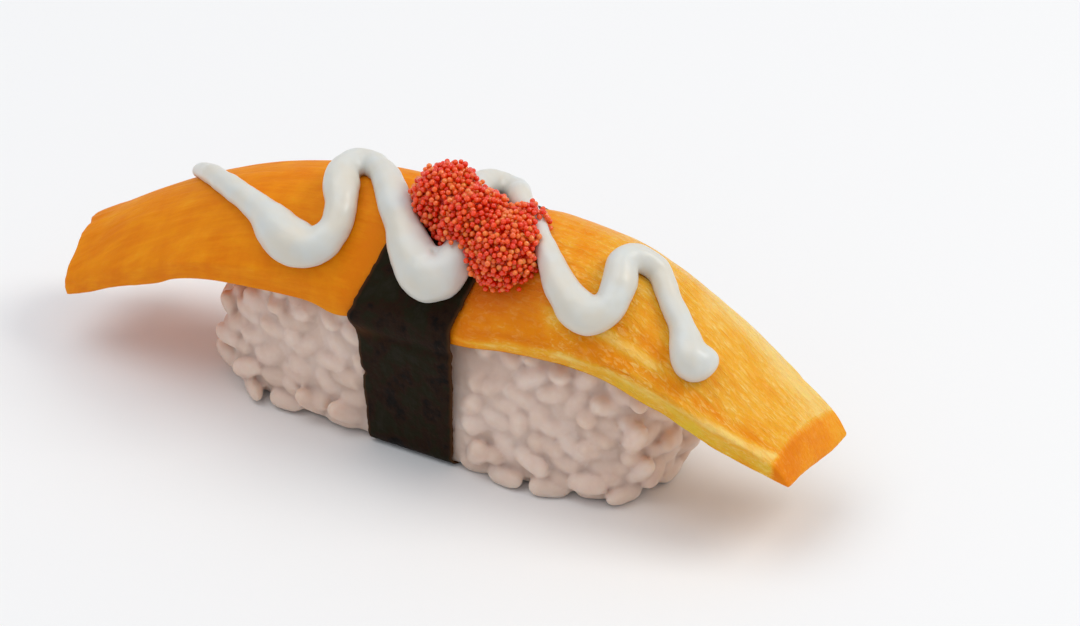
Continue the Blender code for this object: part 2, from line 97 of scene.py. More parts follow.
def add_node(
    tree: bpy.types.NodeTree,
    kind: str,
    settings: dict | None = None,
    stops: Sequence[tuple[float, str]] = (),
    **links: bpy.types.NodeSocket,
) -> bpy.types.Node:
    """Adds a node to a material.

    Args:
        tree: The material's node tree.
        kind: The node's type, without the leading "ShaderNode".
        settings: Properties by name, or input values by socket name or index.
        stops: Position and hex colour of each stop, where the node is a colour ramp.
        links: Outputs to link to the inputs, named as connect() takes them.

    Returns:
        The new node.
    """
    node = tree.nodes.new("ShaderNode" + kind)
    for key, value in (settings or {}).items():
        if isinstance(key, str) and key in node.bl_rna.properties:
            setattr(node, key, value)
        else:
            node.inputs[key].default_value = value
    if stops:
        elements = node.color_ramp.elements
        while len(elements) < len(stops):
            elements.new(0.5)
        for element, (place, code) in zip(elements, stops):
            element.position = place
            element.color = linear(code)
    connect(tree, node, **links)
    return node


def new_material(
    name: str, settings: dict
) -> tuple[bpy.types.Material, bpy.types.NodeTree, bpy.types.Node]:
    """Makes a material with one Principled shader.

    Args:
        name: The material's name.
        settings: The shader's input values by name.

    Returns:
        The material, its node tree and its shader node.
    """
    made = bpy.data.materials.new(name)
    made.use_nodes = True
    shader = made.node_tree.nodes["Principled BSDF"]
    for key, value in settings.items():
        shader.inputs[key].default_value = value
    return made, made.node_tree, shader


# ---- Mesh helpers ------------------------------------------------------------------------


def deselect_all() -> None:
    """Leaves nothing selected, so that an operator meets only the piece in hand."""
    if bpy.context.object and bpy.context.object.mode != "OBJECT":
        bpy.ops.object.mode_set(mode="OBJECT")
    bpy.ops.object.select_all(action="DESELECT")


def take(obj: bpy.types.Object) -> None:
    """Makes one object the only selected and active one."""
    deselect_all()
    obj.select_set(True)
    bpy.context.view_layer.objects.active = obj


def cut_across(obj: bpy.types.Object, axis: Axis, cuts: int) -> None:
    """Cuts the edges that run along an axis into equal lengths.

    Args:
        obj: The object to cut.
        axis: The axis that the edges run along.
        cuts: How many cuts each of them gets.
    """
    least = 1e-9
    take(obj)
    bpy.ops.object.mode_set(mode="EDIT")
    bpy.ops.mesh.select_mode(type="EDGE")
    bpy.ops.mesh.select_all(action="DESELECT")
    bpy.ops.object.mode_set(mode="OBJECT")
    spots = obj.data.vertices
    for edge in obj.data.edges:
        a, b = (spots[v].co[axis.value] for v in edge.vertices)
        edge.select = abs(a - b) > least
    bpy.ops.object.mode_set(mode="EDIT")
    bpy.ops.mesh.subdivide(number_cuts=cuts)
    bpy.ops.object.mode_set(mode="OBJECT")


def vertex_rows(obj: bpy.types.Object, key: str = "co") -> np.ndarray:
    """Reads a vector of each vertex of a mesh.

    Args:
        obj: The mesh object.
        key: "co" for the places, "normal" for the directions out of the surface.

    Returns:
        One row a vertex.
    """
    rows = np.empty(len(obj.data.vertices) * 3)
    obj.data.vertices.foreach_get(key, rows)
    return rows.reshape(-1, 3)


def move_to(obj: bpy.types.Object, co: np.ndarray) -> None:
    """Writes new coordinates to a mesh's vertices."""
    obj.data.vertices.foreach_set("co", np.ascontiguousarray(co, dtype=np.float32).ravel())
    obj.data.update()


def apply_modifier(obj: bpy.types.Object, kind: str, **settings: object) -> None:
    """Adds a modifier and applies it.

    Args:
        obj: The mesh object.
        kind: The modifier's type.
        settings: Its properties by name.
    """
    take(obj)
    modifier = obj.modifiers.new(kind.title(), kind)
    for key, value in settings.items():
        setattr(modifier, key, value)
    bpy.ops.object.modifier_apply(modifier=modifier.name)


def smooth(obj: bpy.types.Object) -> None:
    """Shades a mesh smooth."""
    take(obj)
    bpy.ops.object.shade_smooth()


def store(obj: bpy.types.Object, name: str, values: np.ndarray) -> None:
    """Keeps a number or a vector for each vertex, which the finish reads.

    Args:
        obj: The mesh object.
        name: The attribute's name.
        values: One row a vertex, of one number or of three.
    """
    kind, key = ("FLOAT_VECTOR", "vector") if values.ndim == 2 else ("FLOAT", "value")
    attribute = obj.data.attributes.new(name, kind, "POINT")
    attribute.data.foreach_set(key, np.ascontiguousarray(values, dtype=np.float32).ravel())


def joined_copies(
    name: str, models: Sequence[bpy.types.Object], seats: Sequence[tuple[int, np.ndarray, np.ndarray]]
) -> bpy.types.Object:
    """Joins many placed copies of a few modelled pieces to one mesh, and removes the models.

    Args:
        name: The new object's name.
        models: The modelled pieces, centred on the origin, in metres.
        seats: For each copy the model's index, a 3 by 3 matrix and a place in metres.

    Returns:
        The joined object.
    """
    shapes = []
    for model in models:
        sides = [np.array(polygon.vertices) for polygon in model.data.polygons]
        shapes.append((vertex_rows(model), sides))
    co, faces, start = [], [], 0
    for index, turn, place in seats:
        points, sides = shapes[index]
        co.append(points @ turn.T + place)
        faces += [tuple(side + start) for side in sides]
        start += len(points)
    mesh = bpy.data.meshes.new(name)
    mesh.from_pydata(np.concatenate(co).tolist(), [], faces)
    obj = bpy.data.objects.new(name, mesh)
    bpy.context.scene.collection.objects.link(obj)
    for model in models:
        bpy.data.objects.remove(model)
    smooth(obj)
    return obj


def sunkenness(obj: bpy.types.Object, passes: int = 14) -> np.ndarray:
    """How deep each point of a mesh lies under its surroundings, in millimetres.

    Args:
        obj: The mesh object.
        passes: How many times the surroundings are averaged, which sets how far they reach.

    Returns:
        One depth a vertex; below 0 on what stands out.
    """
    co = vertex_rows(obj) / MM
    ends = np.empty(len(obj.data.edges) * 2, dtype=np.int32)
    obj.data.edges.foreach_get("vertices", ends)
    a, b = ends.reshape(-1, 2).T
    links = np.maximum(np.bincount(ends, minlength=len(co)), 1)
    level = co
    for _ in range(passes):
        sums = []
        for column in level.T:
            sums.append(np.bincount(a, column[b], len(co)) + np.bincount(b, column[a], len(co)))
        level = np.stack(sums, 1) / links[:, None]
    return ((level - co) * vertex_rows(obj, "normal")).sum(1)


@dataclass(frozen=True)
class Ripple:
    """Smooth noise between about -1 and 1.

    Attributes:
        size: Size of the pattern along each axis, in millimetres.
        seed: Shifts the pattern.
        octaves: How many finer layers it has.
    """

    size: tuple
    seed: float
    octaves: int = 3

    def at(self, co: np.ndarray) -> np.ndarray:
        """Reads the noise.

        Args:
            co: Points in millimetres, one a row.

        Returns:
            One number a point.
        """
        fading, finer = 1.0, 2.0
        spots = co / np.asarray(self.size) + self.seed
        return np.array([noise.fractal(Vector(p), fading, finer, self.octaves) for p in spots])


def ease(t: np.ndarray) -> np.ndarray:
    """Smooth step from 0 to 1 as t does."""
    t = np.clip(t, 0, 1)
    return t * t * (3 - 2 * t)


def rise(value: np.ndarray, start: float, run: float) -> np.ndarray:
    """Smooth step from 0 where a value is at the start to 1 after the run."""
    return ease((value - start) / run)


def unit(rows: np.ndarray) -> np.ndarray:
    """Gives each row of vectors the length 1."""
    return rows / np.linalg.norm(rows, axis=1, keepdims=True)


# ---- Shared forms ---------------------------------------------------------------------------


@dataclass
class SliceForm:
    """The bent mango slice as numbers, in millimetres.

    A section is x, y of the ridge, half width, height of the ridge, fall from ridge to edge,
    thickness at the edges and thickness under the ridge.
    """

    sections: tuple = (
        (-45.6, -3.0, 6.7, 13.5, 4.7, 2.2, 5.0),
        (-35.6, -1.7, 8.9, 19.3, 6.1, 2.5, 6.0),
        (-26.1, -1.0, 10.6, 23.4, 6.3, 2.7, 6.4),
        (-14.7, -0.5, 11.3, 26.4, 7.2, 2.7, 6.6),
        (-4.3, -0.3, 11.4, 27.5, 8.3, 2.7, 6.6),
        (5.2, -0.3, 11.2, 27.6, 8.8, 2.7, 6.6),
        (13.8, -0.3, 10.6, 27.4, 7.5, 2.7, 6.6),
        (21.4, -0.4, 9.9, 26.4, 6.6, 2.7, 6.3),
        (29.9, -0.6, 8.9, 21.7, 4.2, 2.8, 5.7),
        (37.5, -0.9, 7.9, 16.7, 2.5, 2.8, 5.0),
        (44.7, -1.0, 6.7, 12.7, 1.1, 2.5, 3.8),
    )
    dome_power: float = 2.1
    step: float = 0.1

    def __post_init__(self) -> None:
        """Samples the sections finely along a smooth curve."""
        rows = np.array(self.sections)
        self.x = np.arange(rows[0, 0], rows[-1, 0] + self.step, self.step)
        self.rows = np.stack([spline(self.x, rows[:, 0], column) for column in rows.T[1:]], 1)

    @property
    def left(self) -> float:
        """x of the left end."""
        return self.sections[0][0]

    @property
    def right(self) -> float:
        """x of the right tip."""
        return self.sections[-1][0]

    def section(self, x: np.ndarray) -> list[np.ndarray]:
        """Ridge y, half width, ridge height, fall, edge thickness and thickness at x."""
        return [np.interp(x, self.x, column) for column in self.rows.T]

    def top(self, x: np.ndarray, y: np.ndarray) -> np.ndarray:
        """Height of the slice's top with no belt on it."""
        middle, half, ridge, fall, _, _ = self.section(x)
        share = np.clip(np.abs(y - middle) / half, 0, 1)
        return ridge - fall * share**self.dome_power

    def bottom(self, x: np.ndarray, y: np.ndarray) -> np.ndarray:
        """Height of the slice's underside."""
        middle, half, _, _, edge, thick = self.section(x)
        share = np.clip(np.abs(y - middle) / half, 0, 1)
        return self.top(x, y) - edge - (thick - edge) * (1 - share**2)

    def normal(self, x: np.ndarray, y: np.ndarray) -> np.ndarray:
        """Unit directions that point up out of the top."""
        reach = 0.05
        along = self.top(x + reach, y) - self.top(x - reach, y)
        across = self.top(x, y + reach) - self.top(x, y - reach)
        out = np.stack([-along, -across, np.full_like(along, 2 * reach)], -1)
        return out / np.linalg.norm(out, axis=-1, keepdims=True)


def spline(x: np.ndarray, knots: np.ndarray, values: np.ndarray) -> np.ndarray:
    """Catmull-Rom curve through values at knots.

    Args:
        x: Where it is read.
        knots: Places of the values, rising.
        values: The values.

    Returns:
        The curve's value at each x.
    """
    slopes = np.gradient(values, knots)
    i = np.clip(np.searchsorted(knots, x) - 1, 0, len(knots) - 2)
    step = knots[i + 1] - knots[i]
    t = np.clip((x - knots[i]) / step, 0, 1)
    return (
        (2 * t**3 - 3 * t**2 + 1) * values[i]
        + (t**3 - 2 * t**2 + t) * step * slopes[i]
        + (3 * t**2 - 2 * t**3) * values[i + 1]
        + (t**3 - t**2) * step * slopes[i + 1]
    )


@dataclass
class BeltLine:
    """Where the seaweed belt runs over the nigiri, in millimetres."""

    half_width: float = 5.8
    skew: float = 2.2
    skew_reach: float = 3.0
    near_y: float = -12.0
    foot_top: float = 15.0
    foot_reach: float = 8.0
    foot_shift: float = 1.2
    foot_taper: float = 0.5

    def middle(self, y: np.ndarray) -> np.ndarray:
        """x of the belt's centre line, which swings to +X on the far side."""
        return self.skew * (1 - np.exp(-np.maximum(y - self.near_y, 0) / self.skew_reach))

    def foot(self, y: np.ndarray, z: np.ndarray) -> np.ndarray:
        """How far the near side has swerved to its foot: 0 high up, 1 at the base."""
        return np.clip(1 - z / self.foot_top, 0, 1) * np.clip(-y / self.foot_reach, 0, 1)

    def beside(self, x: np.ndarray, y: np.ndarray, z: np.ndarray) -> np.ndarray:
        """Distance along the nigiri out of the belt's edge; negative under the belt."""
        foot = self.foot(y, z)
        away = np.abs(x - self.middle(y) + foot * self.foot_shift)
        return away - self.half_width + foot * self.foot_taper

    def cover(self, x: np.ndarray, y: np.ndarray, z: np.ndarray, shoulder: float) -> np.ndarray:
        """1 under the belt, falling smoothly to 0 over a shoulder beside it."""
        return 1 - ease(self.beside(x, y, z) / shoulder)


@dataclass
class RiceForm:
    """The rice loaf as numbers, in millimetres.

    Its left end leans in towards its top: by lean, over a height and a stretch that are each
    given as where they start and how long they run.
    """

    half: tuple = (27.7, 10.4, 12.0)
    middle: float = 8.5
    foot: float = 16.0
    lean: float = 3.6
    lean_height: tuple = (7.0, 8.0)
    lean_stretch: tuple = (18.0, 9.0)
    plan_power: float = 3.4
    side_power: float = 3.0

    def half_width(self, x: np.ndarray, z: np.ndarray) -> np.ndarray:
        """Half the loaf's width at (x, z)."""
        reach = np.where(z > self.middle, self.half[2], self.foot)
        level = 1 - (np.abs(z - self.middle) / reach) ** self.side_power
        plan = np.maximum(level, 0) ** (self.plan_power / self.side_power)
        plan = plan - (np.abs(x) / self.half[0]) ** self.plan_power
        return self.half[1] * np.maximum(plan, 0) ** (1 / self.plan_power)

    def face(self, way: np.ndarray) -> np.ndarray:
        """The loaf's face in directions given as shares of its half sizes."""
        plan = np.abs(way[:, 0]) ** self.plan_power + np.abs(way[:, 1]) ** self.plan_power
        side = plan ** (self.side_power / self.plan_power) + np.abs(way[:, 2]) ** self.side_power
        share = way * side[:, None] ** (-1 / self.side_power)
        reach = np.where(share[:, 2] > 0, self.half[2], self.foot)
        z = self.middle + share[:, 2] * reach
        x = share[:, 0] * self.half[0]
        x = x + self.lean * rise(z, *self.lean_height) * rise(-x, *self.lean_stretch)
        return np.stack([x, share[:, 1] * self.half[1], z], 1)

    def outward(self, point: np.ndarray) -> np.ndarray:
        """Unit directions out of the face at points on it."""
        reach = np.where(point[:, 2] > self.middle, self.half[2], self.foot)
        size = np.stack([np.full_like(reach, self.half[0]), np.full_like(reach, self.half[1]), reach], 1)
        share = (point - (0, 0, self.middle)) / size
        plan = np.abs(share[:, 0]) ** self.plan_power + np.abs(share[:, 1]) ** self.plan_power
        steep = np.maximum(plan, 1e-9) ** (self.side_power / self.plan_power - 1)
        powers = np.array([self.plan_power - 1, self.plan_power - 1, self.side_power - 1])
        out = np.sign(share) * np.abs(share) ** powers / size
        out[:, :2] *= steep[:, None]
        return out / np.linalg.norm(out, axis=1, keepdims=True)


SLICE = SliceForm()
BELT = BeltLine()
RICE = RiceForm()


# ---- Finishes ---------------------------------------------------------------------------------


@dataclass(frozen=True)
class MangoFlesh:
    """Ripe mango flesh cut with a wet knife: translucent, glossy, with fibres along it."""

    deep: str = "#E67F00"
    orange: str = "#F09208"
    golden: str = "#F3AE2C"
    pale: str = "#FACF72"
    # Painted glints: pale yellow laid on the wet flesh where it would catch the light.
    painted_glint: str = "#FFDA80"
    rind: str = "#EAC632"
    # Reddish juice staining under the roe, darkened further as painted shade of roe and mayonnaise.
    stain_and_shade: str = "#B8340A"
    fibre_mm: float = 0.55
    stretch: float = 0.1
    wander_mm: float = 12.0
    cloud_mm: float = 3.6
    pit_mm: float = 0.5
    fleck_mm: tuple = (0.9, 0.3, 0.3)
    painted_glint_share: float = 0.75
    relief_mm: float = 0.22
    light_depth_mm: float = 1.8
    dry: float = 0.58
    wet: float = 0.22

    def material(self) -> bpy.types.Material:
        """Builds the material; the pattern follows the bend by the attribute "flesh".

        Returns:
            The material.
        """
        settings = {
            "IOR": 1.35,
            "Specular IOR Level": 0.22,
            "Subsurface Weight": 0.3,
            "Subsurface Radius": (1.0, 0.4, 0.05),
            "Subsurface Scale": self.light_depth_mm * MM,
        }
        made, tree, shader = new_material("mango_flesh_wet_cut", settings)
        add = partial(add_node, tree)
        place = add("Attribute", {"attribute_name": "flesh"}).outputs["Vector"]
        wetness = add("Attribute", {"attribute_name": "wetness"}).outputs["Fac"]
        strand = self.fibres(tree, place)
        size = tuple(1 / (side * MM) for side in self.fleck_mm)
        spread = add("Mapping", {"Scale": size}, Vector=place).outputs[0]
        noisy = {"Scale": 1.0, "Detail": 3.0, "Distortion": 1.0}
        fleck = add("TexNoise", noisy, Vector=spread).outputs["Fac"]
        colour = self.colours(tree, place, strand, fleck, wetness)
        rough = add("MapRange", {"To Min": self.dry, "To Max": self.wet}, Value=wetness).outputs["Result"]
        pits = add("TexNoise", {"Scale": 1 / (self.pit_mm * MM), "Detail": 3.0}, Vector=place).outputs["Fac"]
        relief = add("Math", {"operation": "MULTIPLY_ADD", 1: 0.5}, in_0=pits, in_2=strand).outputs[0]
        relief = add("Math", {"operation": "ADD"}, in_0=relief, in_1=fleck).outputs[0]
        depth = add("MapRange", {"To Min": 0.3, "To Max": 0.9}, Value=wetness).outputs["Result"]
        bump = add("Bump", {"Distance": self.relief_mm * MM}, Height=relief, Strength=depth)
        bump = bump.outputs["Normal"]
        connect(tree, shader, Base_Color=colour, Roughness=rough, Normal=bump)
        return made

    def colours(
        self,
        tree: bpy.types.NodeTree,
        place: bpy.types.NodeSocket,
        strand: bpy.types.NodeSocket,
        fleck: bpy.types.NodeSocket,
        wetness: bpy.types.NodeSocket,
    ) -> bpy.types.NodeSocket:
        """Adds the flesh's colours: ripe tones with painted light and shade, fibres and clouds, painted
        glints, rind, and reddish juice staining with painted shade.

        Args:
            tree: The material's node tree.
            place: The coordinates along, across and into the slice.
            strand: The fibres' strength.
            fleck: The noise of the small flecks, which sets where glints are painted.
            wetness: How wet and rough-cut the flesh is.

        Returns:
            The colour.
        """
        add = partial(add_node, tree)
        clouds = {"Scale": 1 / (self.cloud_mm * MM), "Detail": 5.0, "Roughness": 0.6}
        cloud = add("TexNoise", clouds, Vector=place).outputs["Fac"]
        # Ripe tones together with painted light and shade, worked out in MangoSlice.roughen.
        ripe_and_lit = add("Attribute", {"attribute_name": "ripeness"}).outputs["Fac"]
        tone = add("Math", {"operation": "MULTIPLY_ADD", 1: 0.5}, in_0=strand, in_2=ripe_and_lit).outputs[0]
        tone = add("Math", {"operation": "MULTIPLY_ADD", 1: 0.6}, in_0=cloud, in_2=tone).outputs[0]
        stops = ((0.2, self.deep), (0.42, self.orange), (0.66, self.golden), (0.92, self.pale))
        colour = add("ValToRGB", stops=stops, Fac=tone).outputs["Color"]
        # Painted glints: pale yellow on the strongest flecks of the wet part, clustered in patches.
        glint = {"From Min": 0.5, "From Max": 0.7, "To Max": self.painted_glint_share}
        bright = add("MapRange", glint, Value=fleck).outputs["Result"]
        bright = add("Math", {"operation": "MULTIPLY"}, in_0=bright, in_1=wetness).outputs[0]
        patches = {"From Min": 0.4, "From Max": 0.6, "To Min": 0.3}
        patch = add("MapRange", patches, Value=cloud).outputs["Result"]
        bright = add("Math", {"operation": "MULTIPLY"}, in_0=bright, in_1=patch).outputs[0]
        rind = add("Attribute", {"attribute_name": "rind"}).outputs["Fac"]
        # Reddish juice staining with painted shade under the roe.
        soaked = add("Attribute", {"attribute_name": "soaked"}).outputs["Fac"]
        for code, share in ((self.painted_glint, bright), (self.rind, rind), (self.stain_and_shade, soaked)):
            mixed = add("Mix", {"data_type": "RGBA", "B": linear(code)}, A=colour, Factor=share)
            colour = mixed.outputs["Result"]
        return colour

    def fibres(self, tree: bpy.types.NodeTree, place: bpy.types.NodeSocket) -> bpy.types.NodeSocket:
        """Adds the fibres: noise drawn out along the slice, which wanders a little.

        Args:
            tree: The material's node tree.
            place: The coordinates along, across and into the slice.

        Returns:
            The fibres' strength.
        """
        fine = 1 / (self.fibre_mm * MM)
        drawn = add_node(tree, "Mapping", {"Scale": (fine * self.stretch, fine, fine)}, Vector=place)
        wide = {"Scale": 1 / (self.wander_mm * MM), "Detail": 1.0}
        wander = add_node(tree, "TexNoise", wide, Vector=place)
        sway = {"operation": "MULTIPLY_ADD", 1: (0.0, 1.5, 1.5)}
        bent = add_node(
            tree, "VectorMath", sway, in_0=wander.outputs["Color"], in_2=drawn.outputs["Vector"],
        )
        thread = {"Scale": 1.0, "Detail": 5.0, "Roughness": 0.62}
        return add_node(tree, "TexNoise", thread, Vector=bent.outputs[0]).outputs["Fac"]


@dataclass(frozen=True)
class CookedRice:
    """Steamed short-grain rice with vinegar: moist, translucent, each grain a little unlike."""

    shade: str = "#D2B7A5"
    grain: str = "#E0C7B7"
    bright: str = "#ECD9CC"
    # Painted shade: a brown mixed into the hollows between the grains.
    hollow: str = "#8A6A52"
    hollow_shade_share: float = 0.24
    starch_mm: float = 1.3
    film_mm: float = 0.35
    relief_mm: float = 0.1
    light_depth_mm: float = 2.2

    def material(self) -> bpy.types.Material:
        """Builds the material; "tone" tells the grains apart, and "hollow" marks the gaps between them,
        which get painted shade.

        Returns:
            The material.
        """
        settings = {
            "Roughness": 0.42,
            "IOR": 1.4,
            "Specular IOR Level": 0.35,
            "Subsurface Weight": 0.85,
            "Subsurface Radius": (1.0, 0.78, 0.6),
            "Subsurface Scale": self.light_depth_mm * MM,
        }
        made, tree, shader = new_material("sushi_rice_steamed", settings)
        add = partial(add_node, tree)
        place = add("TexCoord").outputs["Object"]
        tone = add("Attribute", {"attribute_name": "tone"}).outputs["Fac"]
        starch = add("TexNoise", {"Scale": 1 / (self.starch_mm * MM), "Detail": 3.0}, Vector=place)
        tone = add("Math", {"operation": "MULTIPLY_ADD", 1: 0.5}, in_0=starch.outputs["Fac"], in_2=tone)
        stops = ((0.2, self.shade), (0.6, self.grain), (1.0, self.bright))
        colour = add("ValToRGB", stops=stops, Fac=tone.outputs[0]).outputs["Color"]
        # Painted shade in the hollows between the grains.
        hollow = add("Attribute", {"attribute_name": "hollow"}).outputs["Fac"]
        dark = add("Math", {"operation": "MULTIPLY", 1: self.hollow_shade_share}, in_0=hollow).outputs[0]
        with_hollow_shade = add("Mix", {"data_type": "RGBA", "B": linear(self.hollow)}, A=colour, Factor=dark)
        film = add("TexNoise", {"Scale": 1 / (self.film_mm * MM), "Detail": 3.0}, Vector=place)
        skin = {"Strength": 0.25, "Distance": self.relief_mm * MM}
        bump = add("Bump", skin, Height=film.outputs["Fac"])
        connect(tree, shader, Base_Color=with_hollow_shade.outputs["Result"], Normal=bump.outputs["Normal"])
        return made


@dataclass(frozen=True)
class RoastedSeaweed:
    """Pressed and roasted seaweed sheet: nearly black, satin, mottled green and brown."""

    black: str = "#090401"
    brown: str = "#241104"
    green: str = "#1B1806"
    slate: str = "#221D13"
    # Brown that the strip's edges have from wear; on the crease under the lip it is a painted highlight.
    wear_and_crease_highlight: str = "#512F12"
    wear_and_highlight_share: float = 0.75
    patch_mm: float = 3.0
    pressed_mm: float = 0.9
    fibre_mm: float = 0.45
    relief_mm: float = 0.12

    def material(self) -> bpy.types.Material:
        """Builds the material; the attribute "sheet" runs along and across the strip.

        Returns:
            The material.
        """
        settings = {"IOR": 1.45, "Specular IOR Level": 0.1}
        made, tree, shader = new_material("seaweed_pressed_roasted", settings)
        add = partial(add_node, tree)
        place = add("Attribute", {"attribute_name": "sheet"}).outputs["Vector"]
        mottled = {"Scale": 1 / (self.patch_mm * MM), "Detail": 5.0, "Roughness": 0.65}
        patches = add("TexNoise", mottled, Vector=place).outputs["Fac"]
        stops = ((0.36, self.black), (0.46, self.brown), (0.56, self.green), (0.66, self.slate))
        colour = add("ValToRGB", stops=stops, Fac=patches).outputs["Color"]
        # Wear on the strip's edges, and a painted highlight on the crease under the lip.
        rim = add("Attribute", {"attribute_name": "rim"}).outputs["Fac"]
        wear_and_crease_highlight = add("Math", {"operation": "MULTIPLY", 1: self.wear_and_highlight_share}, in_0=rim).outputs[0]
        edged = add("Mix", {"data_type": "RGBA", "B": linear(self.wear_and_crease_highlight)}, A=colour, Factor=wear_and_crease_highlight)
        flakes = {"Scale": 1 / (self.pressed_mm * MM), "feature": "SMOOTH_F1"}
        pressed = add("TexVoronoi", flakes, Vector=place).outputs["Distance"]
        threads = {"Scale": 1 / (self.fibre_mm * MM), "Detail": 4.0, "Distortion": 0.6}
        fibre = add("TexNoise", threads, Vector=place).outputs["Fac"]
        relief = add("Math", {"operation": "MULTIPLY_ADD", 1: 0.6}, in_0=fibre, in_2=pressed)
        bump = add("Bump", {"Strength": 0.7, "Distance": self.relief_mm * MM}, Height=relief.outputs[0])
        rough = add("MapRange", {"To Min": 0.36, "To Max": 0.7}, Value=patches).outputs["Result"]
        colour, normal = edged.outputs["Result"], bump.outputs["Normal"]
        connect(tree, shader, Base_Color=colour, Roughness=rough, Normal=normal)
        return made


@dataclass(frozen=True)
class Mayonnaise:
    """Squeezed mayonnaise: an opaque emulsion, smooth, with a soft gloss."""

    cream: str = "#DBD5C7"
    body: str = "#D8D9D3"
    cloud_mm: float = 4.0
    film_mm: float = 1.2
    relief_mm: float = 0.15
    light_depth_mm: float = 1.2

    def material(self) -> bpy.types.Material:
        """Builds the material.

        Returns:
            The material.
        """
        settings = {
            "Roughness": 0.32,
            "IOR": 1.46,
            "Subsurface Weight": 0.5,
            "Subsurface Radius": (1.0, 0.9, 0.75),
            "Subsurface Scale": self.light_depth_mm * MM,
        }
        made, tree, shader = new_material("mayonnaise_squeezed", settings)
        add = partial(add_node, tree)
        place = add("TexCoord").outputs["Object"]
        cloud = add("TexNoise", {"Scale": 1 / (self.cloud_mm * MM), "Detail": 2.0}, Vector=place)
        stops = ((0.35, self.cream), (0.65, self.body))
        colour = add("ValToRGB", stops=stops, Fac=cloud.outputs["Fac"]).outputs["Color"]
        film = add("TexNoise", {"Scale": 1 / (self.film_mm * MM), "Detail": 2.0}, Vector=place)
        skin = {"Strength": 0.15, "Distance": self.relief_mm * MM}
        bump = add("Bump", skin, Height=film.outputs["Fac"])
        connect(tree, shader, Base_Color=colour, Normal=bump.outputs["Normal"])
        return made


@dataclass(frozen=True)
class FishRoe:
    """Salted flying fish eggs: thin clear skins over red-orange yolk, wet."""

    dark: str = "#E02A08"
    red: str = "#FB4A14"
    orange: str = "#FF8A3C"
    light_depth_mm: float = 1.0

    def material(self) -> bpy.types.Material:
        """Builds the material; the attribute "tone" tells the eggs apart.

        Returns:
            The material.
        """
        settings = {
            "Roughness": 0.1,
            "IOR": 1.38,
            "Subsurface Weight": 0.7,
            "Subsurface Radius": (1.0, 0.2, 0.05),
            "Subsurface Scale": self.light_depth_mm * MM,
            "Coat Weight": 0.6,
            "Coat Roughness": 0.03,
        }
        made, tree, shader = new_material("flying_fish_roe_salted", settings)
        tone = add_node(tree, "Attribute", {"attribute_name": "tone"}).outputs["Fac"]
        stops = ((0.0, self.dark), (0.45, self.red), (1.0, self.orange))
        colour = add_node(tree, "ValToRGB", stops=stops, Fac=tone).outputs["Color"]
        connect(tree, shader, Base_Color=colour)
        return made


# ---- The pieces ----------------------------------------------------------------------------------


@dataclass(frozen=True)
class EdgeBand:
    """A ridge or groove that runs along the slice's near edge.

    Attributes:
        start: Share of the half width where it lies at the belt; past -1 is on the cut edge.
        end: The same at the right tip.
        width: Its half width, as such a share.
        strength: How strongly a ridge stands out with a painted highlight, or below 0 how strongly a groove
            sinks with painted shade.
        first: x where it sets in, in millimetres.
        last: x where it has faded, in millimetres.
    """

    start: float
    end: float
    width: float
    strength: float
    first: float
    last: float


@dataclass(frozen=True)
class SliceTones:
    """How ripe, wet, skinned and stained the slice is, and where light and shade are painted on it.

    Tones are shares of the colour ramp. A span is where a smooth step starts and its run.
    """

    # Left half deep orange, right half golden: partly ripeness, partly painted shade on the left and painted
    # light on the right.
    left_half: float = -0.245
    right_half: float = 0.36
    right_span: tuple = (0.5, 0.35)
    # Paler towards the far side of the wet right half: painted light.
    across: float = 0.06
    far_side_painted_light: float = 0.16
    far_span: tuple = (0.1, 0.8)
    # Edge bands in the colour: pale ridges are painted highlights, dark grooves are painted shade.
    band: float = 0.28
    # Darker near the belt's edges on the slice's near half.
    by_belt: float = 0.15
    by_belt_reach: float = 3.0
    by_belt_span: tuple = (0.3, 0.4)
    bevel: float = 0.42
    bevel_fade: float = 0.35
    bevel_span: tuple = (1.5, 2.0)
    bevel_dryness: float = 0.8
    rind: float = 0.55
    rind_unevenness: float = 0.6
    rind_patches: Ripple = Ripple((3, 1.5, 1.5), 8.4)
    rind_span: tuple = (1.0, 0.3)
    rind_along: tuple = (18.0, 16.0)
    # Reddish juice staining under the roe, which also paints the shade there.
    stain_and_shade: float = 0.48
    stain_and_shade_reach: float = 1.3
    stain_and_shade_middle: tuple = (9.0, -7.6, 24.0)
    stain_and_shade_size: tuple = (7.5, 4.5, 7.0)


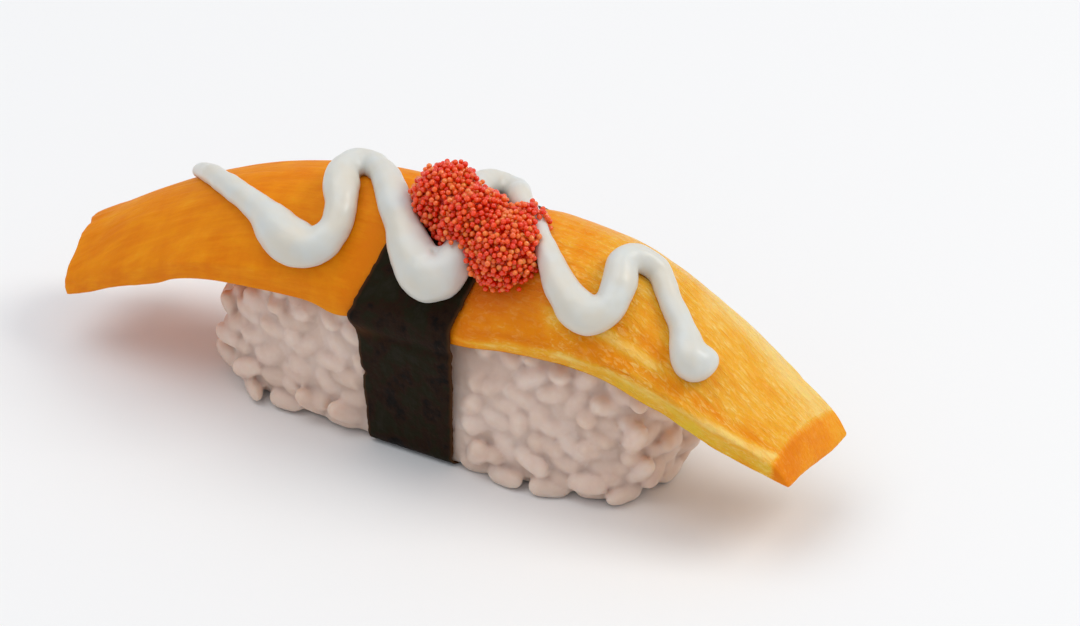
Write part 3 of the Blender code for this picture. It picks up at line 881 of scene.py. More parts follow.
@dataclass
class MangoSlice:
    """One long slice of mango, bent over the rice and pressed in by the belt.

    A span is where a smooth step starts and its run: in millimetres along the slice or into
    it, or in shares of the half width across it.
    """

    tones: SliceTones = SliceTones()
    stations: int = 74
    across: int = 18
    rim: float = 0.55
    rim_degrees: float = 40.0
    squeeze: float = 0.5
    shoulder: float = 2.0
    edge_press: float = 0.5
    far_span: tuple = (-0.6, 1.4)
    tip_bevel: float = 1.8
    tip_curve: float = 1.35
    tip_edge: float = 0.2
    tip_sag: float = 0.9
    tip_sag_span: tuple = (35.0, 9.0)
    tip_thinning: float = 0.22
    thinning_span: tuple = (30.0, 14.0)
    droop: float = 0.85
    droop_at: float = -8.2
    droop_width: float = 2.2
    droop_span: tuple = (0.5, 0.5)
    nick: float = 0.5
    nick_right_end: tuple = (18.0, 8.0)
    nick_left_end: tuple = (-32.0, 2.5)
    nick_span: tuple = (0.5, 0.4)
    end_reach: float = 9.0
    end_skew: float = 1.2
    end_sag: float = 0.6
    ragged_depth: float = 0.55
    ragged_reach: float = 3.0
    ragged_run: float = 2.0
    ragged_middle: float = 0.6
    tears: Ripple = Ripple((1, 1.7, 1.7), 4.3, 2)
    wet_span: tuple = (0.5, 0.3)
    bevel_margin: float = 0.3
    bevel_run: float = 0.5
    bevel_calm: float = 0.8
    fibre_relief: float = 0.07
    fibres: Ripple = Ripple((11, 0.8, 0.8), 7.7)
    swell: float = 0.12
    waves: Ripple = Ripple((14, 6, 8), 3.1, 2)
    side_share: float = 0.7
    side_from: float = -0.8
    side_top: float = 0.4
    side_height: float = 2.3
    waver: float = 0.03
    wavering: Ripple = Ripple((4, 9, 9), 2.2, 2)
    band_relief: float = 0.14
    band_break: float = 0.5
    band_breaks: Ripple = Ripple((2.5, 1, 1), 6.1)
    band_from: float = 8.0
    band_length: float = 30.0
    band_fade: float = 5.0
    edge_bands: tuple = (
        EdgeBand(-0.80, -0.84, 0.05, 0.9, 13, 32),
        EdgeBand(-0.66, -0.70, 0.08, -0.5, 12, 34),
        EdgeBand(-1.42, -0.97, 0.07, 1.0, 4, 60),
        EdgeBand(-1.15, -0.82, 0.09, -0.6, 5, 60),
        EdgeBand(-1.55, -1.25, 0.16, 0.45, 4, 60),
        EdgeBand(-1.72, -1.68, 0.10, -0.6, 4, 60),
    )

    def build(self) -> bpy.types.Object:
        """Models the slice from a block: cut, bent, rimmed, rounded and given its fibres.

        Returns:
            The slice.
        """
        deselect_all()
        bpy.ops.mesh.primitive_cube_add(size=2)
        obj = bpy.context.object
        obj.name = "mango_slice_flesh"
        cut_across(obj, Axis.X, self.stations - 1)
        cut_across(obj, Axis.Y, self.across - 1)
        move_to(obj, self.bend(vertex_rows(obj)) * MM)
        sharp = math.radians(self.rim_degrees)
        apply_modifier(
            obj, "BEVEL", width=self.rim * MM, segments=2, limit_method="ANGLE", angle_limit=sharp,
        )
        apply_modifier(obj, "SUBSURF", levels=2, render_levels=2)
        self.roughen(obj)
        smooth(obj)
        return obj

    def bend(self, share: np.ndarray) -> np.ndarray:
        """Turns shares of the block to places on the slice, in millimetres.

        Args:
            share: Rows of -1 to 1 along, across and up the block.

        Returns:
            The places.
        """
        along, q, side = share.T
        x = (SLICE.left + SLICE.right) / 2 + along * (SLICE.right - SLICE.left) / 2
        middle, half, ridge, fall, edge, thick = SLICE.section(x)
        y = middle + q * half
        top = ridge - fall * np.abs(q) ** SLICE.dome_power
        pressed = self.squeeze * BELT.cover(x, y, top, self.shoulder)
        bottom = top - edge - (thick - edge) * (1 - q * q)
        cut = np.clip((SLICE.right - x) / self.tip_bevel, 0, 1)
        cut = self.tip_edge + (1 - self.tip_edge) * (1 - (1 - cut) ** self.tip_curve)
        thinned = 1 - self.tip_thinning * rise(x, *self.thinning_span)
        top = bottom + (top - bottom) * cut * thinned - pressed
        y = y - np.sign(q) * self.edge_press * pressed * q**4
        far = rise(q, *self.far_span)
        by_belt = np.exp(-(((x - self.droop_at) / self.droop_width) ** 2))
        sag = self.droop * by_belt * rise(-q, *self.droop_span)
        sag += self.tip_sag * rise(x, *self.tip_sag_span) * far
        nick = self.nick * rise(x, *self.nick_left_end) * rise(-x, *self.nick_right_end)
        bottom = bottom + nick * rise(-q, *self.nick_span)
        near_end = rise(-x, -SLICE.left - self.end_reach, self.end_reach)
        sag += self.end_sag * near_end
        x = x - self.end_skew * near_end * far
        return np.stack([x, y, np.where(side > 0, top, bottom) - sag], 1)

    def roughen(self, obj: bpy.types.Object) -> None:
        """Adds the knife's waviness, the fibres and the torn end, and stores what the finish reads.

        Args:
            obj: The bent slice.
        """
        co = vertex_rows(obj) / MM
        middle, half = SLICE.section(co[:, 0])[:2]
        q = (co[:, 1] - middle) / half
        depth = SLICE.top(co[:, 0], co[:, 1]) - co[:, 2]
        flesh = np.stack([co[:, 0], co[:, 1] - middle, depth], 1)
        along = (co[:, 0] - SLICE.left) / (SLICE.right - SLICE.left)
        wet = rise(along, *self.wet_span)
        bevel = ease((co[:, 0] - SLICE.right + self.tip_bevel + self.bevel_margin) / self.bevel_run)
        down = np.clip((depth - self.side_top) / self.side_height, 0, 1)
        around = q - self.side_share * down * (q < self.side_from)
        around += self.waver * self.wavering.at(flesh)
        broken = 1 + self.band_break * self.band_breaks.at(flesh)
        bands = self.bands(around, co[:, 0]) * (1 - bevel) * broken
        waves = self.waves.at(flesh) * self.swell
        fibres = self.fibres.at(flesh) * self.fibre_relief * (1 + wet) * (1 - self.bevel_calm * bevel)
        co += vertex_rows(obj, "normal") * (waves + fibres + self.band_relief * bands)[:, None]
        ragged = ease((SLICE.left + self.ragged_reach - co[:, 0]) / self.ragged_run)
        torn = np.abs(self.tears.at(flesh * (0, 1, 1))) - self.ragged_middle
        co[:, 0] += ragged * self.ragged_depth * torn
        move_to(obj, co * MM)
        store(obj, "flesh", flesh * MM)
        tones = self.tones
        # Colour tone: ripeness along the slice, with painted shade on the left half, painted light on the
        # far side and painted highlights and shade along the edge bands.
        far = rise(q, *tones.far_span) * wet
        ripe_and_lit = tones.left_half + tones.right_half * rise(along, *tones.right_span)
        ripe_and_lit = ripe_and_lit + tones.across * np.clip(q, -1, 1) * wet + tones.far_side_painted_light * far
        by_belt = np.exp(-((BELT.beside(*co.T) / tones.by_belt_reach) ** 2))
        by_belt = by_belt * rise(-q, *tones.by_belt_span)
        cut = tones.bevel * bevel * (1 - tones.bevel_fade * rise(depth, *tones.bevel_span))
        store(obj, "ripeness", ripe_and_lit - cut + tones.band * bands - tones.by_belt * by_belt)
        store(obj, "wetness", wet * (1 - tones.bevel_dryness * bevel))
        patchy = np.clip(tones.rind + tones.rind_unevenness * tones.rind_patches.at(flesh), 0, 1)
        rind = patchy * rise(-around, *tones.rind_span) * rise(co[:, 0], *tones.rind_along)
        store(obj, "rind", rind * (1 - bevel))
        # Reddish juice staining and painted shade round a spot under the roe.
        spot = (co - tones.stain_and_shade_middle) / tones.stain_and_shade_size
        store(obj, "soaked", tones.stain_and_shade * ease(tones.stain_and_shade_reach - np.linalg.norm(spot, axis=1)))

    def bands(self, around: np.ndarray, x: np.ndarray) -> np.ndarray:
        """The ridges and grooves that run along the near edge of the slice's right half.

        Args:
            around: Share of the half width, past -1 on the cut edge down to -1.7.
            x: Place along the nigiri, in millimetres.

        Returns:
            1 on a ridge, which is raised and given a painted highlight, -1 in a groove, which is sunk and
            given painted shade, 0 elsewhere.
        """
        total = np.zeros_like(x)
        for band in self.edge_bands:
            share = np.clip((x - self.band_from) / self.band_length, 0, 1)
            place = band.start + (band.end - band.start) * share
            shown = rise(x, band.first, self.band_fade) * rise(-x, -band.last, self.band_fade)
            total += band.strength * shown * np.exp(-(((around - place) / band.width) ** 2))
        return total


@dataclass
class SeaweedBelt:
    """A strip of roasted seaweed round rice and mango."""

    around: int = 260
    columns: int = 26
    shelves: int = 24
    over: int = 41
    up: int = 16
    relaxing: int = 6
    pitch: float = 0.29
    thickness: float = 0.24
    edge_round: float = 0.06
    edge_degrees: float = 50.0
    inner: float = 0.4
    bite: float = 0.2
    base: float = 0.26
    rice_top: float = 14.0
    heart: tuple = (0.0, 0.0, 13.0)
    lip: float = 16.0
    lip_rise: float = 0.4
    lip_height: float = 1.3
    lip_flare: float = 0.9
    lip_lift: float = 0.12
    notch: float = 0.5
    notch_at: float = 9.6
    notch_height: float = 0.5
    crease: float = 0.3
    crease_drop: float = 0.9
    crease_height: float = 0.7
    crinkle: float = 0.13
    crinkles: Ripple = Ripple((2.8, 2.8, 1), 2.0)
    foot_calm: float = 1.5
    fray: float = 0.16
    tears: Ripple = Ripple((1.1, 2, 2), 5.0)
    tear_apart: float = 4.0
    worn_span: tuple = (0.93, 0.07)
    # How much painted highlight the crease under the lip gets.
    crease_highlight: float = 0.8

    def outline(self, x: float) -> np.ndarray:
        """The strip's inner line at x as rows of y and z, evenly spaced round it.

        Args:
            x: Place along the nigiri, in millimetres.

        Returns:
            One row a step round the strip.
        """
        q = np.linspace(-1, 1, self.over)
        spot = np.full_like(q, x)
        middle, half, _, _, edge, _ = SLICE.section(spot)
        y = middle + q * half
        top = SLICE.top(spot, y)
        bound = [*zip(y, top - self.inner)]
        bound += [(y[k], top[k] - edge[k]) for k in (0, -1)]
        z = np.linspace(self.base, self.rice_top, self.up)
        side = RICE.half_width(np.full_like(z, x), z) - self.bite
        bound += [*zip(side, z), *zip(-side, z)]
        bound = [Vector(p) for p in bound]
        hull = np.array([bound[i] for i in convex_hull_2d(bound)])
        start = max(range(len(hull)), key=lambda i: (-round(hull[i, 1], 3), hull[i, 0]))
        hull = np.roll(hull, -start, axis=0)
        hull = np.vstack([hull, hull[:1]])
        run = np.concatenate([[0], np.cumsum(np.linalg.norm(np.diff(hull, axis=0), axis=1))])
        at = np.linspace(0, run[-1], self.around, endpoint=False)
        loop = np.stack([np.interp(at, run, hull[:, k]) for k in (0, 1)], 1)
        for _ in range(self.relaxing):
            loop = (np.roll(loop, 1, 0) + 2 * loop + np.roll(loop, -1, 0)) / 4
        return loop

    def build(self) -> bpy.types.Object:
        """Models the strip from an open tube: cut, laid round the nigiri and thickened.

        Returns:
            The strip.
        """
        deselect_all()
        bpy.ops.mesh.primitive_cylinder_add(
            vertices=self.around, radius=1, depth=2, end_fill_type="NOTHING",
        )
        obj = bpy.context.object
        obj.name = "seaweed_belt_strip"
        cut_across(obj, Axis.Z, self.columns - 1)
        self.lay(obj)
        thickness, edge_round = self.thickness * MM, self.edge_round * MM
        sharp = math.radians(self.edge_degrees)
        apply_modifier(obj, "SOLIDIFY", thickness=thickness, offset=1, use_even_offset=True)
        apply_modifier(
            obj, "BEVEL", width=edge_round, segments=1, limit_method="ANGLE", angle_limit=sharp,
        )
        smooth(obj)
        return obj

    def lay(self, obj: bpy.types.Object) -> None:
        """Lays the tube round the nigiri, frayed, creased and crinkled.

        Args:
            obj: The tube, with a radius of 1 and a height of 2.
        """
        share = vertex_rows(obj)
        turn = np.arctan2(share[:, 1], share[:, 0]) / (2 * math.pi)
        index = np.round(turn * self.around).astype(int) % self.around
        shelf = np.linspace(-BELT.half_width - 1, BELT.half_width + BELT.skew + 1, self.shelves)
        loops = np.stack([self.outline(x) for x in shelf])
        rims = np.stack([index * self.pitch, np.sign(share[:, 2]) * self.tear_apart, 0 * turn], 1)
        offset = share[:, 2] * (BELT.half_width + self.fray * self.tears.at(rims))
        x = offset
        for _ in range(3):
            y = self.lookup(loops, shelf, x, index)[:, 0]
            x = BELT.middle(y) + offset
        y, z = self.lookup(loops, shelf, x, index).T
        x = x - BELT.foot(y, z) * (BELT.foot_shift + BELT.foot_taper * share[:, 2])
        left, near = ease(-share[:, 2]) ** 2, y < 0
        flare = np.exp(-(((z - self.lip - self.lip_rise) / self.lip_height) ** 2)) * near * left
        notch = np.exp(-(((z - self.notch_at) / self.notch_height) ** 2)) * near * left**3
        x = x - self.lip_flare * flare + self.notch * notch
        co = np.stack([x, y, z], 1)
        sheet = np.stack([offset, index * self.pitch, 0 * x], 1)
        out = unit((co - self.heart) * (0, 1, 1))
        crinkle = self.crinkle * self.crinkles.at(sheet) * np.clip(z / self.foot_calm, 0, 1)
        crease = np.exp(-(((z - self.lip + self.crease_drop) / self.crease_height) ** 2)) * near
        co += out * (crinkle - self.crease * crease + self.lip_lift * flare)[:, None]
        move_to(obj, co * MM)
        store(obj, "sheet", sheet * MM)
        # Wear along the strip's edges plus a painted highlight on the crease under the lip.
        wear_and_crease_highlight = rise(np.abs(share[:, 2]), *self.worn_span) + self.crease_highlight * crease * left
        store(obj, "rim", np.clip(wear_and_crease_highlight, 0, 1))

    def lookup(
        self, loops: np.ndarray, shelf: np.ndarray, x: np.ndarray, index: np.ndarray
    ) -> np.ndarray:
        """Reads the strip's line between the sampled outlines.

        Args:
            loops: The outlines, one for each place on the shelf.
            shelf: Their places along the nigiri, in millimetres.
            x: Where the line is read, in millimetres.
            index: The step round the strip.

        Returns:
            Rows of y and z.
        """
        t = np.clip((x - shelf[0]) / (shelf[1] - shelf[0]), 0, len(shelf) - 1.001)
        low = t.astype(int)
        share = (t - low)[:, None]
        return loops[low, index] * (1 - share) + loops[low + 1, index] * share


@dataclass(frozen=True)
class GrainLayer:
    """One pass of packing grains, in millimetres.

    Attributes:
        tries: How many places are tried.
        depth: How far a grain's middle lies under the loaf's face.
        loose: How much that depth varies.
        apart: Least distance between the middle lines of two grains.
        most: Most grains that the pass sets.
        fringe: Whether they keep to the loaf's foot and ends.
    """

    tries: int
    depth: float
    loose: float
    apart: float
    most: int = 10_000
    fringe: bool = False


@dataclass
class RiceBlock:
    """The loaf of rice: whole grains pressed together to one sticky mass over a core."""

    length: float = 4.5
    width: float = 2.6
    thickness: float = 2.0
    blunt: float = 0.86
    fuller: float = 0.1
    waist: float = 0.05
    bend_wide: float = 0.3
    bend_thick: float = 0.22
    bend_level: float = 0.4
    knobs: float = 0.08
    knob_mm: float = 1.6
    size_range: tuple = (0.9, 1.08)
    tone_range: tuple = (0.15, 0.5)
    kinds: int = 6
    seed: int = 11
    core_inset: float = 0.35
    core_floor: float = 0.2
    core_roof: float = 0.1
    core_shoulder: float = 0.8
    foot_inset: float = 0.5
    foot_height: float = 2.0
    belt_inset: float = 0.5
    under_belt: float = 0.35
    belt_edge: float = 0.5
    belt_top: float = 15.0
    free_room: float = 9.0
    under_mango: float = 0.4
    voxel: float = 0.26
    standing: float = 0.55
    tilt: float = 0.2
    base_top: float = 0.2
    base_margin: float = 0.4
    base_reach: float = 27.0
    fringe_top: float = 4.0
    fringe_end: float = 25.0
    fringe_room: float = 1.1
    room: float = 0.5
    floor_slack: float = 0.2
    mango_slack: float = 0.8
    soften: int = 12
    hollow_depth: float = 0.2
    tone_places: tuple = (-0.8, 0.0, 0.8)
    layers: tuple = (
        GrainLayer(6000, -0.1, 0.35, 2.0, 150, True),
        GrainLayer(7000, 0.78, 0.14, 1.4),
        GrainLayer(6000, 0.86, 0.1, 1.0),
    )

    @property
    def half_line(self) -> float:
        """Half the length of a grain's middle line, without its round ends."""
        return (self.length - self.thickness) / 2

    def grain(self, kind: int) -> bpy.types.Object:
        """Models one cooked grain: a ball drawn out, one end fuller, a little bent.

        Args:
            kind: Which of the grains it is, which sets its bend and its fullness.

        Returns:
            The grain, centred on the origin with its length along X.
        """
        deselect_all()
        bpy.ops.mesh.primitive_uv_sphere_add(
            segments=14, ring_count=10, radius=0.5, rotation=(0, math.pi / 2, 0),
        )
        obj = bpy.context.object
        bpy.ops.object.transform_apply(location=False, rotation=True, scale=False)
        x, y, z = vertex_rows(obj).T
        end, wide, thick = np.random.default_rng(self.seed + kind).uniform(-1, 1, 3)
        u = x * 2
        blunt = np.sign(u) * np.abs(u) ** self.blunt
        girth = 1 + self.fuller * end * u - self.waist * np.cos(u * 4)
        y, z = y * self.width * girth, z * self.thickness * girth
        co = np.stack([blunt * self.length / 2, y, z], 1)
        bow = u * u - self.bend_level
        co[:, 1] += self.bend_wide * wide * bow
        co[:, 2] += self.bend_thick * thick * bow
        knobs = Ripple((self.knob_mm,) * 3, 9.0 + kind, 1)
        co += self.knobs * knobs.at(co)[:, None] * np.sign(co)
        move_to(obj, co * MM)
        return obj

    def core(self) -> bpy.types.Object:
        """Models the core from a ball: pressed to the loaf, dented by belt and mango.

        Returns:
            The core.
        """
        deselect_all()
        bpy.ops.mesh.primitive_uv_sphere_add(segments=160, ring_count=80, radius=1)
        obj = bpy.context.object
        co = RICE.face(unit(vertex_rows(obj)))
        out = RICE.outward(co)
        under = BELT.cover(*co.T, self.core_shoulder)
        inset = self.core_inset + self.foot_inset * ease(1 - co[:, 2] / self.foot_height)
        inset += (self.belt_inset - inset) * under
        co = co - out * inset[:, None]
        roof = SLICE.bottom(co[:, 0], co[:, 1]) + self.core_roof
        co[:, 2] = np.minimum(np.maximum(co[:, 2], self.core_floor), roof)
        move_to(obj, co * MM)
        return obj

    def pack(self) -> list[np.ndarray]:
        """Packs grains on the loaf's sides and base, each clear enough of the others.

        Returns:
            For each grain a row of its middle and its long, wide and thick directions.
        """
        draw = np.random.default_rng(self.seed + 3)
        placed, lines = [], np.empty((0, 2, 3))
        for layer in self.layers:
            way = draw.normal(size=(layer.tries, 3))
            count = 0
            for spot in RICE.face(unit(way)):
                laid = self.lay(spot, layer, draw)
                if laid is None or count >= layer.most:
                    continue
                middle, side, out = laid
                line = np.stack([middle - side * self.half_line, middle + side * self.half_line])
                if not self.allowed(line, self.fringe_room if layer.fringe else self.room):
                    continue
                if len(lines) and gap_between(lines, line).min() < layer.apart:
                    continue
                lines = np.concatenate([lines, line[None]])
                across = np.cross(out, side)
                across /= np.linalg.norm(across)
                placed.append(np.stack([middle, side, across, np.cross(side, across)]))
                count += 1
        return placed

    def lay(
        self, spot: np.ndarray, layer: GrainLayer, draw: np.random.Generator
    ) -> tuple[np.ndarray, np.ndarray, np.ndarray] | None:
        """Lays a grain at a place on the loaf's face, or anywhere on its base.

        Args:
            spot: The place, in millimetres.
            layer: The pass that the grain belongs to.
            draw: Source of the random draws.

        Returns:
            Its middle, its long direction and the way out of the loaf, or None off the base
            and away from the fringe of a layer that keeps to it.
        """
        base = spot[2] < self.base_top
        upper = spot[2] > self.fringe_top and abs(spot[0]) < self.fringe_end
        if layer.fringe and (base or upper):
            return None
        if base:
            wide = RICE.half[1]
            along = draw.uniform(-self.base_reach, self.base_reach)
            spot = np.array([along, draw.uniform(-wide, wide), 0.0])
            if abs(spot[1]) > RICE.half_width(spot[0], np.array(0.0)) - self.base_margin:
                return None
        else:
            spot[2] = max(spot[2], self.thickness / 2)
        out = np.array([0, 0, -1.0]) if base else RICE.outward(spot[None])[0]
        sunk = layer.depth + draw.uniform(-layer.loose, layer.loose)
        sunk = max(sunk, 0.0) + self.thickness / 2 if base else sunk
        side = np.cross(out, draw.normal(size=3))
        side = side / np.linalg.norm(side) + out * draw.normal() * self.tilt * (not base)
        side *= (1, 1, self.standing * min(spot[2] / self.length, 1))
        side /= np.linalg.norm(side)
        return spot - out * sunk, side, out

    def allowed(self, line: np.ndarray, room: float) -> bool:
        """Tells whether a grain keeps clear of belt, mango and floor.

        Args:
            line: The two ends of its middle line, in millimetres.
            room: Least distance from that line to the belt, in half thicknesses.

        Returns:
            True where it can lie.
        """
        x, y, z = (line[0] + (line[1] - line[0]) * np.linspace(0, 1, 5)[:, None]).T
        radius = self.thickness / 2
        if (z < radius - self.floor_slack).any():
            return False
        if (BELT.beside(x, y, z) < radius * room).any():
            return False
        return not (z > SLICE.bottom(x, y) - radius + self.mango_slack).any()

    def build(self) -> bpy.types.Object:
        """Models the loaf by pressing a core and the grains round it to one mass.

        Returns:
            The loaf.
        """
        draw = np.random.default_rng(self.seed)
        placed = self.pack()
        seats = []
        for middle, side, across, out in placed:
            turn = np.stack([side, across, out], 1) * draw.uniform(*self.size_range, 3)
            seats.append((int(draw.integers(self.kinds)), turn, middle * MM))
        models = [self.grain(k) for k in range(self.kinds)]
        grains = joined_copies("rice_loaf", models, seats)
        core = self.core()
        take(grains)
        core.select_set(True)
        bpy.ops.object.join()
        loaf = bpy.context.object
        apply_modifier(loaf, "REMESH", mode="VOXEL", voxel_size=self.voxel * MM)
        apply_modifier(loaf, "SMOOTH", iterations=self.soften)
        # Mask for the painted shade: how deep each point lies in a hollow between grains.
        store(loaf, "hollow", np.clip(sunkenness(loaf) / self.hollow_depth, 0, 1))
        self.tint(loaf, placed, draw)
        self.confine(loaf)
        smooth(loaf)
        return loaf

    def confine(self, obj: bpy.types.Object) -> None:
        """Presses what reaches too far back inside the belt, off the floor and off the mango.

        Args:
            obj: The loaf.
        """
        co = vertex_rows(obj) / MM
        x, y, z = co.T
        free = self.free_room * (1 - BELT.cover(x, y, z, self.belt_edge))
        width = RICE.half_width(x, z) - self.under_belt
        co[:, 1] = np.where(z < self.belt_top, np.clip(y, -width - free, width + free), y)
        co[:, 2] = np.clip(z, 0.0, SLICE.bottom(x, y) + self.under_mango)
        move_to(obj, co * MM)

    def tint(
        self, loaf: bpy.types.Object, placed: Sequence[np.ndarray], draw: np.random.Generator
    ) -> None:
        """Stores a tone at each point of the loaf, taken from the grain that it belongs to.

        Args:
            loaf: The loaf.
            placed: The grains, as pack() gives them.
            draw: Source of the random draws.
        """
        reaches = self.tone_places
        tree = kdtree.KDTree(len(reaches) * len(placed))
        for k, (middle, side, _, _) in enumerate(placed):
            for j, reach in enumerate(reaches):
                spot = (middle + side * self.half_line * reach) * MM
                tree.insert(Vector(spot), len(reaches) * k + j)
        tree.balance()
        tones = draw.uniform(*self.tone_range, len(placed))
        nearest = [tree.find(vertex.co)[1] // len(reaches) for vertex in loaf.data.vertices]
        store(loaf, "tone", tones[nearest])


def gap_between(many: np.ndarray, one: np.ndarray) -> np.ndarray:
    """Least distance from one line to each of many, sampled along both.

    Args:
        many: Rows of two ends.
        one: Two ends.

    Returns:
        One distance a row.
    """
    share = np.linspace(0, 1, 7)[:, None]
    lines = many[:, None, 0] + (many[:, 1] - many[:, 0])[:, None] * share
    line = one[0] + (one[1] - one[0]) * share
    away = lines[:, :, None] - line[None, None]
    return np.linalg.norm(away, axis=-1).min(axis=(1, 2))


@dataclass
class MayonnaiseBead:
    """A bead of mayonnaise squeezed in a zigzag along the slice."""

    knots: tuple = (
        (-34.2, 0.7, 0.8), (-30.5, -2.0, 1.15), (-26.5, -4.5, 1.3), (-22.5, -6.4, 1.45), (-19.4, -7.7, 1.75),
        (-16.9, -8.9, 2.4), (-14.0, -9.8, 2.65), (-11.4, -9.6, 2.2), (-10.1, -8.2, 1.75), (-10.4, -6.2, 1.8),
        (-11.7, -4.1, 2.0), (-12.9, -1.7, 1.8), (-12.2, 0.7, 1.55), (-9.2, -0.4, 1.5), (-5.6, -3.6, 1.85),
        (-2.9, -6.0, 1.95), (0.2, -8.3, 2.6), (2.6, -9.1, 3.1), (4.5, -8.3, 2.4), (4.8, -5.8, 1.6),
        (3.6, -2.4, 1.5), (2.1, 1.2, 1.5), (2.3, 4.4, 1.6), (4.7, 4.3, 1.5), (7.6, 1.0, 1.25),
        (10.3, -1.2, 1.05), (12.9, -3.6, 1.1), (15.6, -5.9, 1.5), (18.2, -7.5, 2.0), (20.8, -8.2, 2.2),
        (22.7, -7.0, 1.8), (22.6, -4.6, 1.85), (21.9, -2.7, 1.75), (22.7, -0.9, 1.55), (24.8, -0.4, 1.35),
        (27.3, -2.3, 1.3), (29.4, -3.7, 1.4), (30.9, -5.2, 1.9), (32.0, -5.9, 2.2),
        (32.9, -4.9, 1.8), (33.6, -3.7, 1.1),
    )
    ride: float = 0.35
    lift: float = 0.3
    end_round: float = 0.05
    samples: int = 420
    facets: int = 8
    voxel: float = 0.22
    soften: int = 12
    sink: float = 0.12
    uneven: float = 0.13
    swelling: Ripple = Ripple((2.6, 2.6, 2.6), 4.0, 2)

    def path(self) -> tuple[np.ndarray, np.ndarray]:
        """Follows the knots along the slice.

        Returns:
            The bead's middle line in millimetres, and its radii.
        """
        knots = np.array(self.knots)
        count = np.arange(len(knots))
        t = np.linspace(0, len(knots) - 1, self.samples)
        x, y, radius = (spline(t, count, column) for column in knots.T)
        run = np.concatenate([[0], np.cumsum(np.hypot(np.diff(x), np.diff(y)))])
        to_end = np.clip(np.minimum(run, run[-1] - run) / radius, 0, 1)
        radius = radius * np.sqrt(np.maximum(1 - (1 - to_end) ** 2, self.end_round))
        foot = np.stack([x, y, SLICE.top(x, y) + self.lift], 1)
        return foot + SLICE.normal(x, y) * (self.ride * radius)[:, None], radius

    def build(self) -> bpy.types.Object:
        """Models the bead from a bevelled curve: fused, softened and laid on the slice.

        Returns:
            The bead.
        """
        deselect_all()
        middle, radius = self.path()
        bpy.ops.curve.primitive_nurbs_path_add()
        curve = bpy.context.object
        curve.name = "mayonnaise_bead"
        curve.data.splines.clear()
        line = curve.data.splines.new("POLY")
        line.points.add(len(middle) - 1)
        line.points.foreach_set("co", np.column_stack([middle * MM, np.ones(len(middle))]).ravel())
        line.points.foreach_set("radius", radius)
        curve.data.bevel_depth = MM
        curve.data.bevel_resolution = self.facets
        curve.data.use_fill_caps = True
        bpy.ops.object.convert(target="MESH")
        obj = bpy.context.object
        apply_modifier(obj, "REMESH", mode="VOXEL", voxel_size=self.voxel * MM)
        apply_modifier(obj, "SMOOTH", iterations=self.soften)
        co = vertex_rows(obj) / MM
        co += vertex_rows(obj, "normal") * (self.uneven * self.swelling.at(co))[:, None]
        floor = SLICE.top(co[:, 0], co[:, 1]) - self.sink
        co[:, 2] = np.maximum(co[:, 2], floor)
        move_to(obj, co * MM)
        smooth(obj)
        return obj


@dataclass(frozen=True)
class EggLayer:
    """One pass of setting eggs, in millimetres.

    Attributes:
        inset: How far inside the heap's face their middles lie.
        apart: Least distance between two middles.
        tries: How many places are tried on each lump.
        stray: How much a place strays from there.
    """

    inset: float
    apart: float
    tries: int
    stray: float


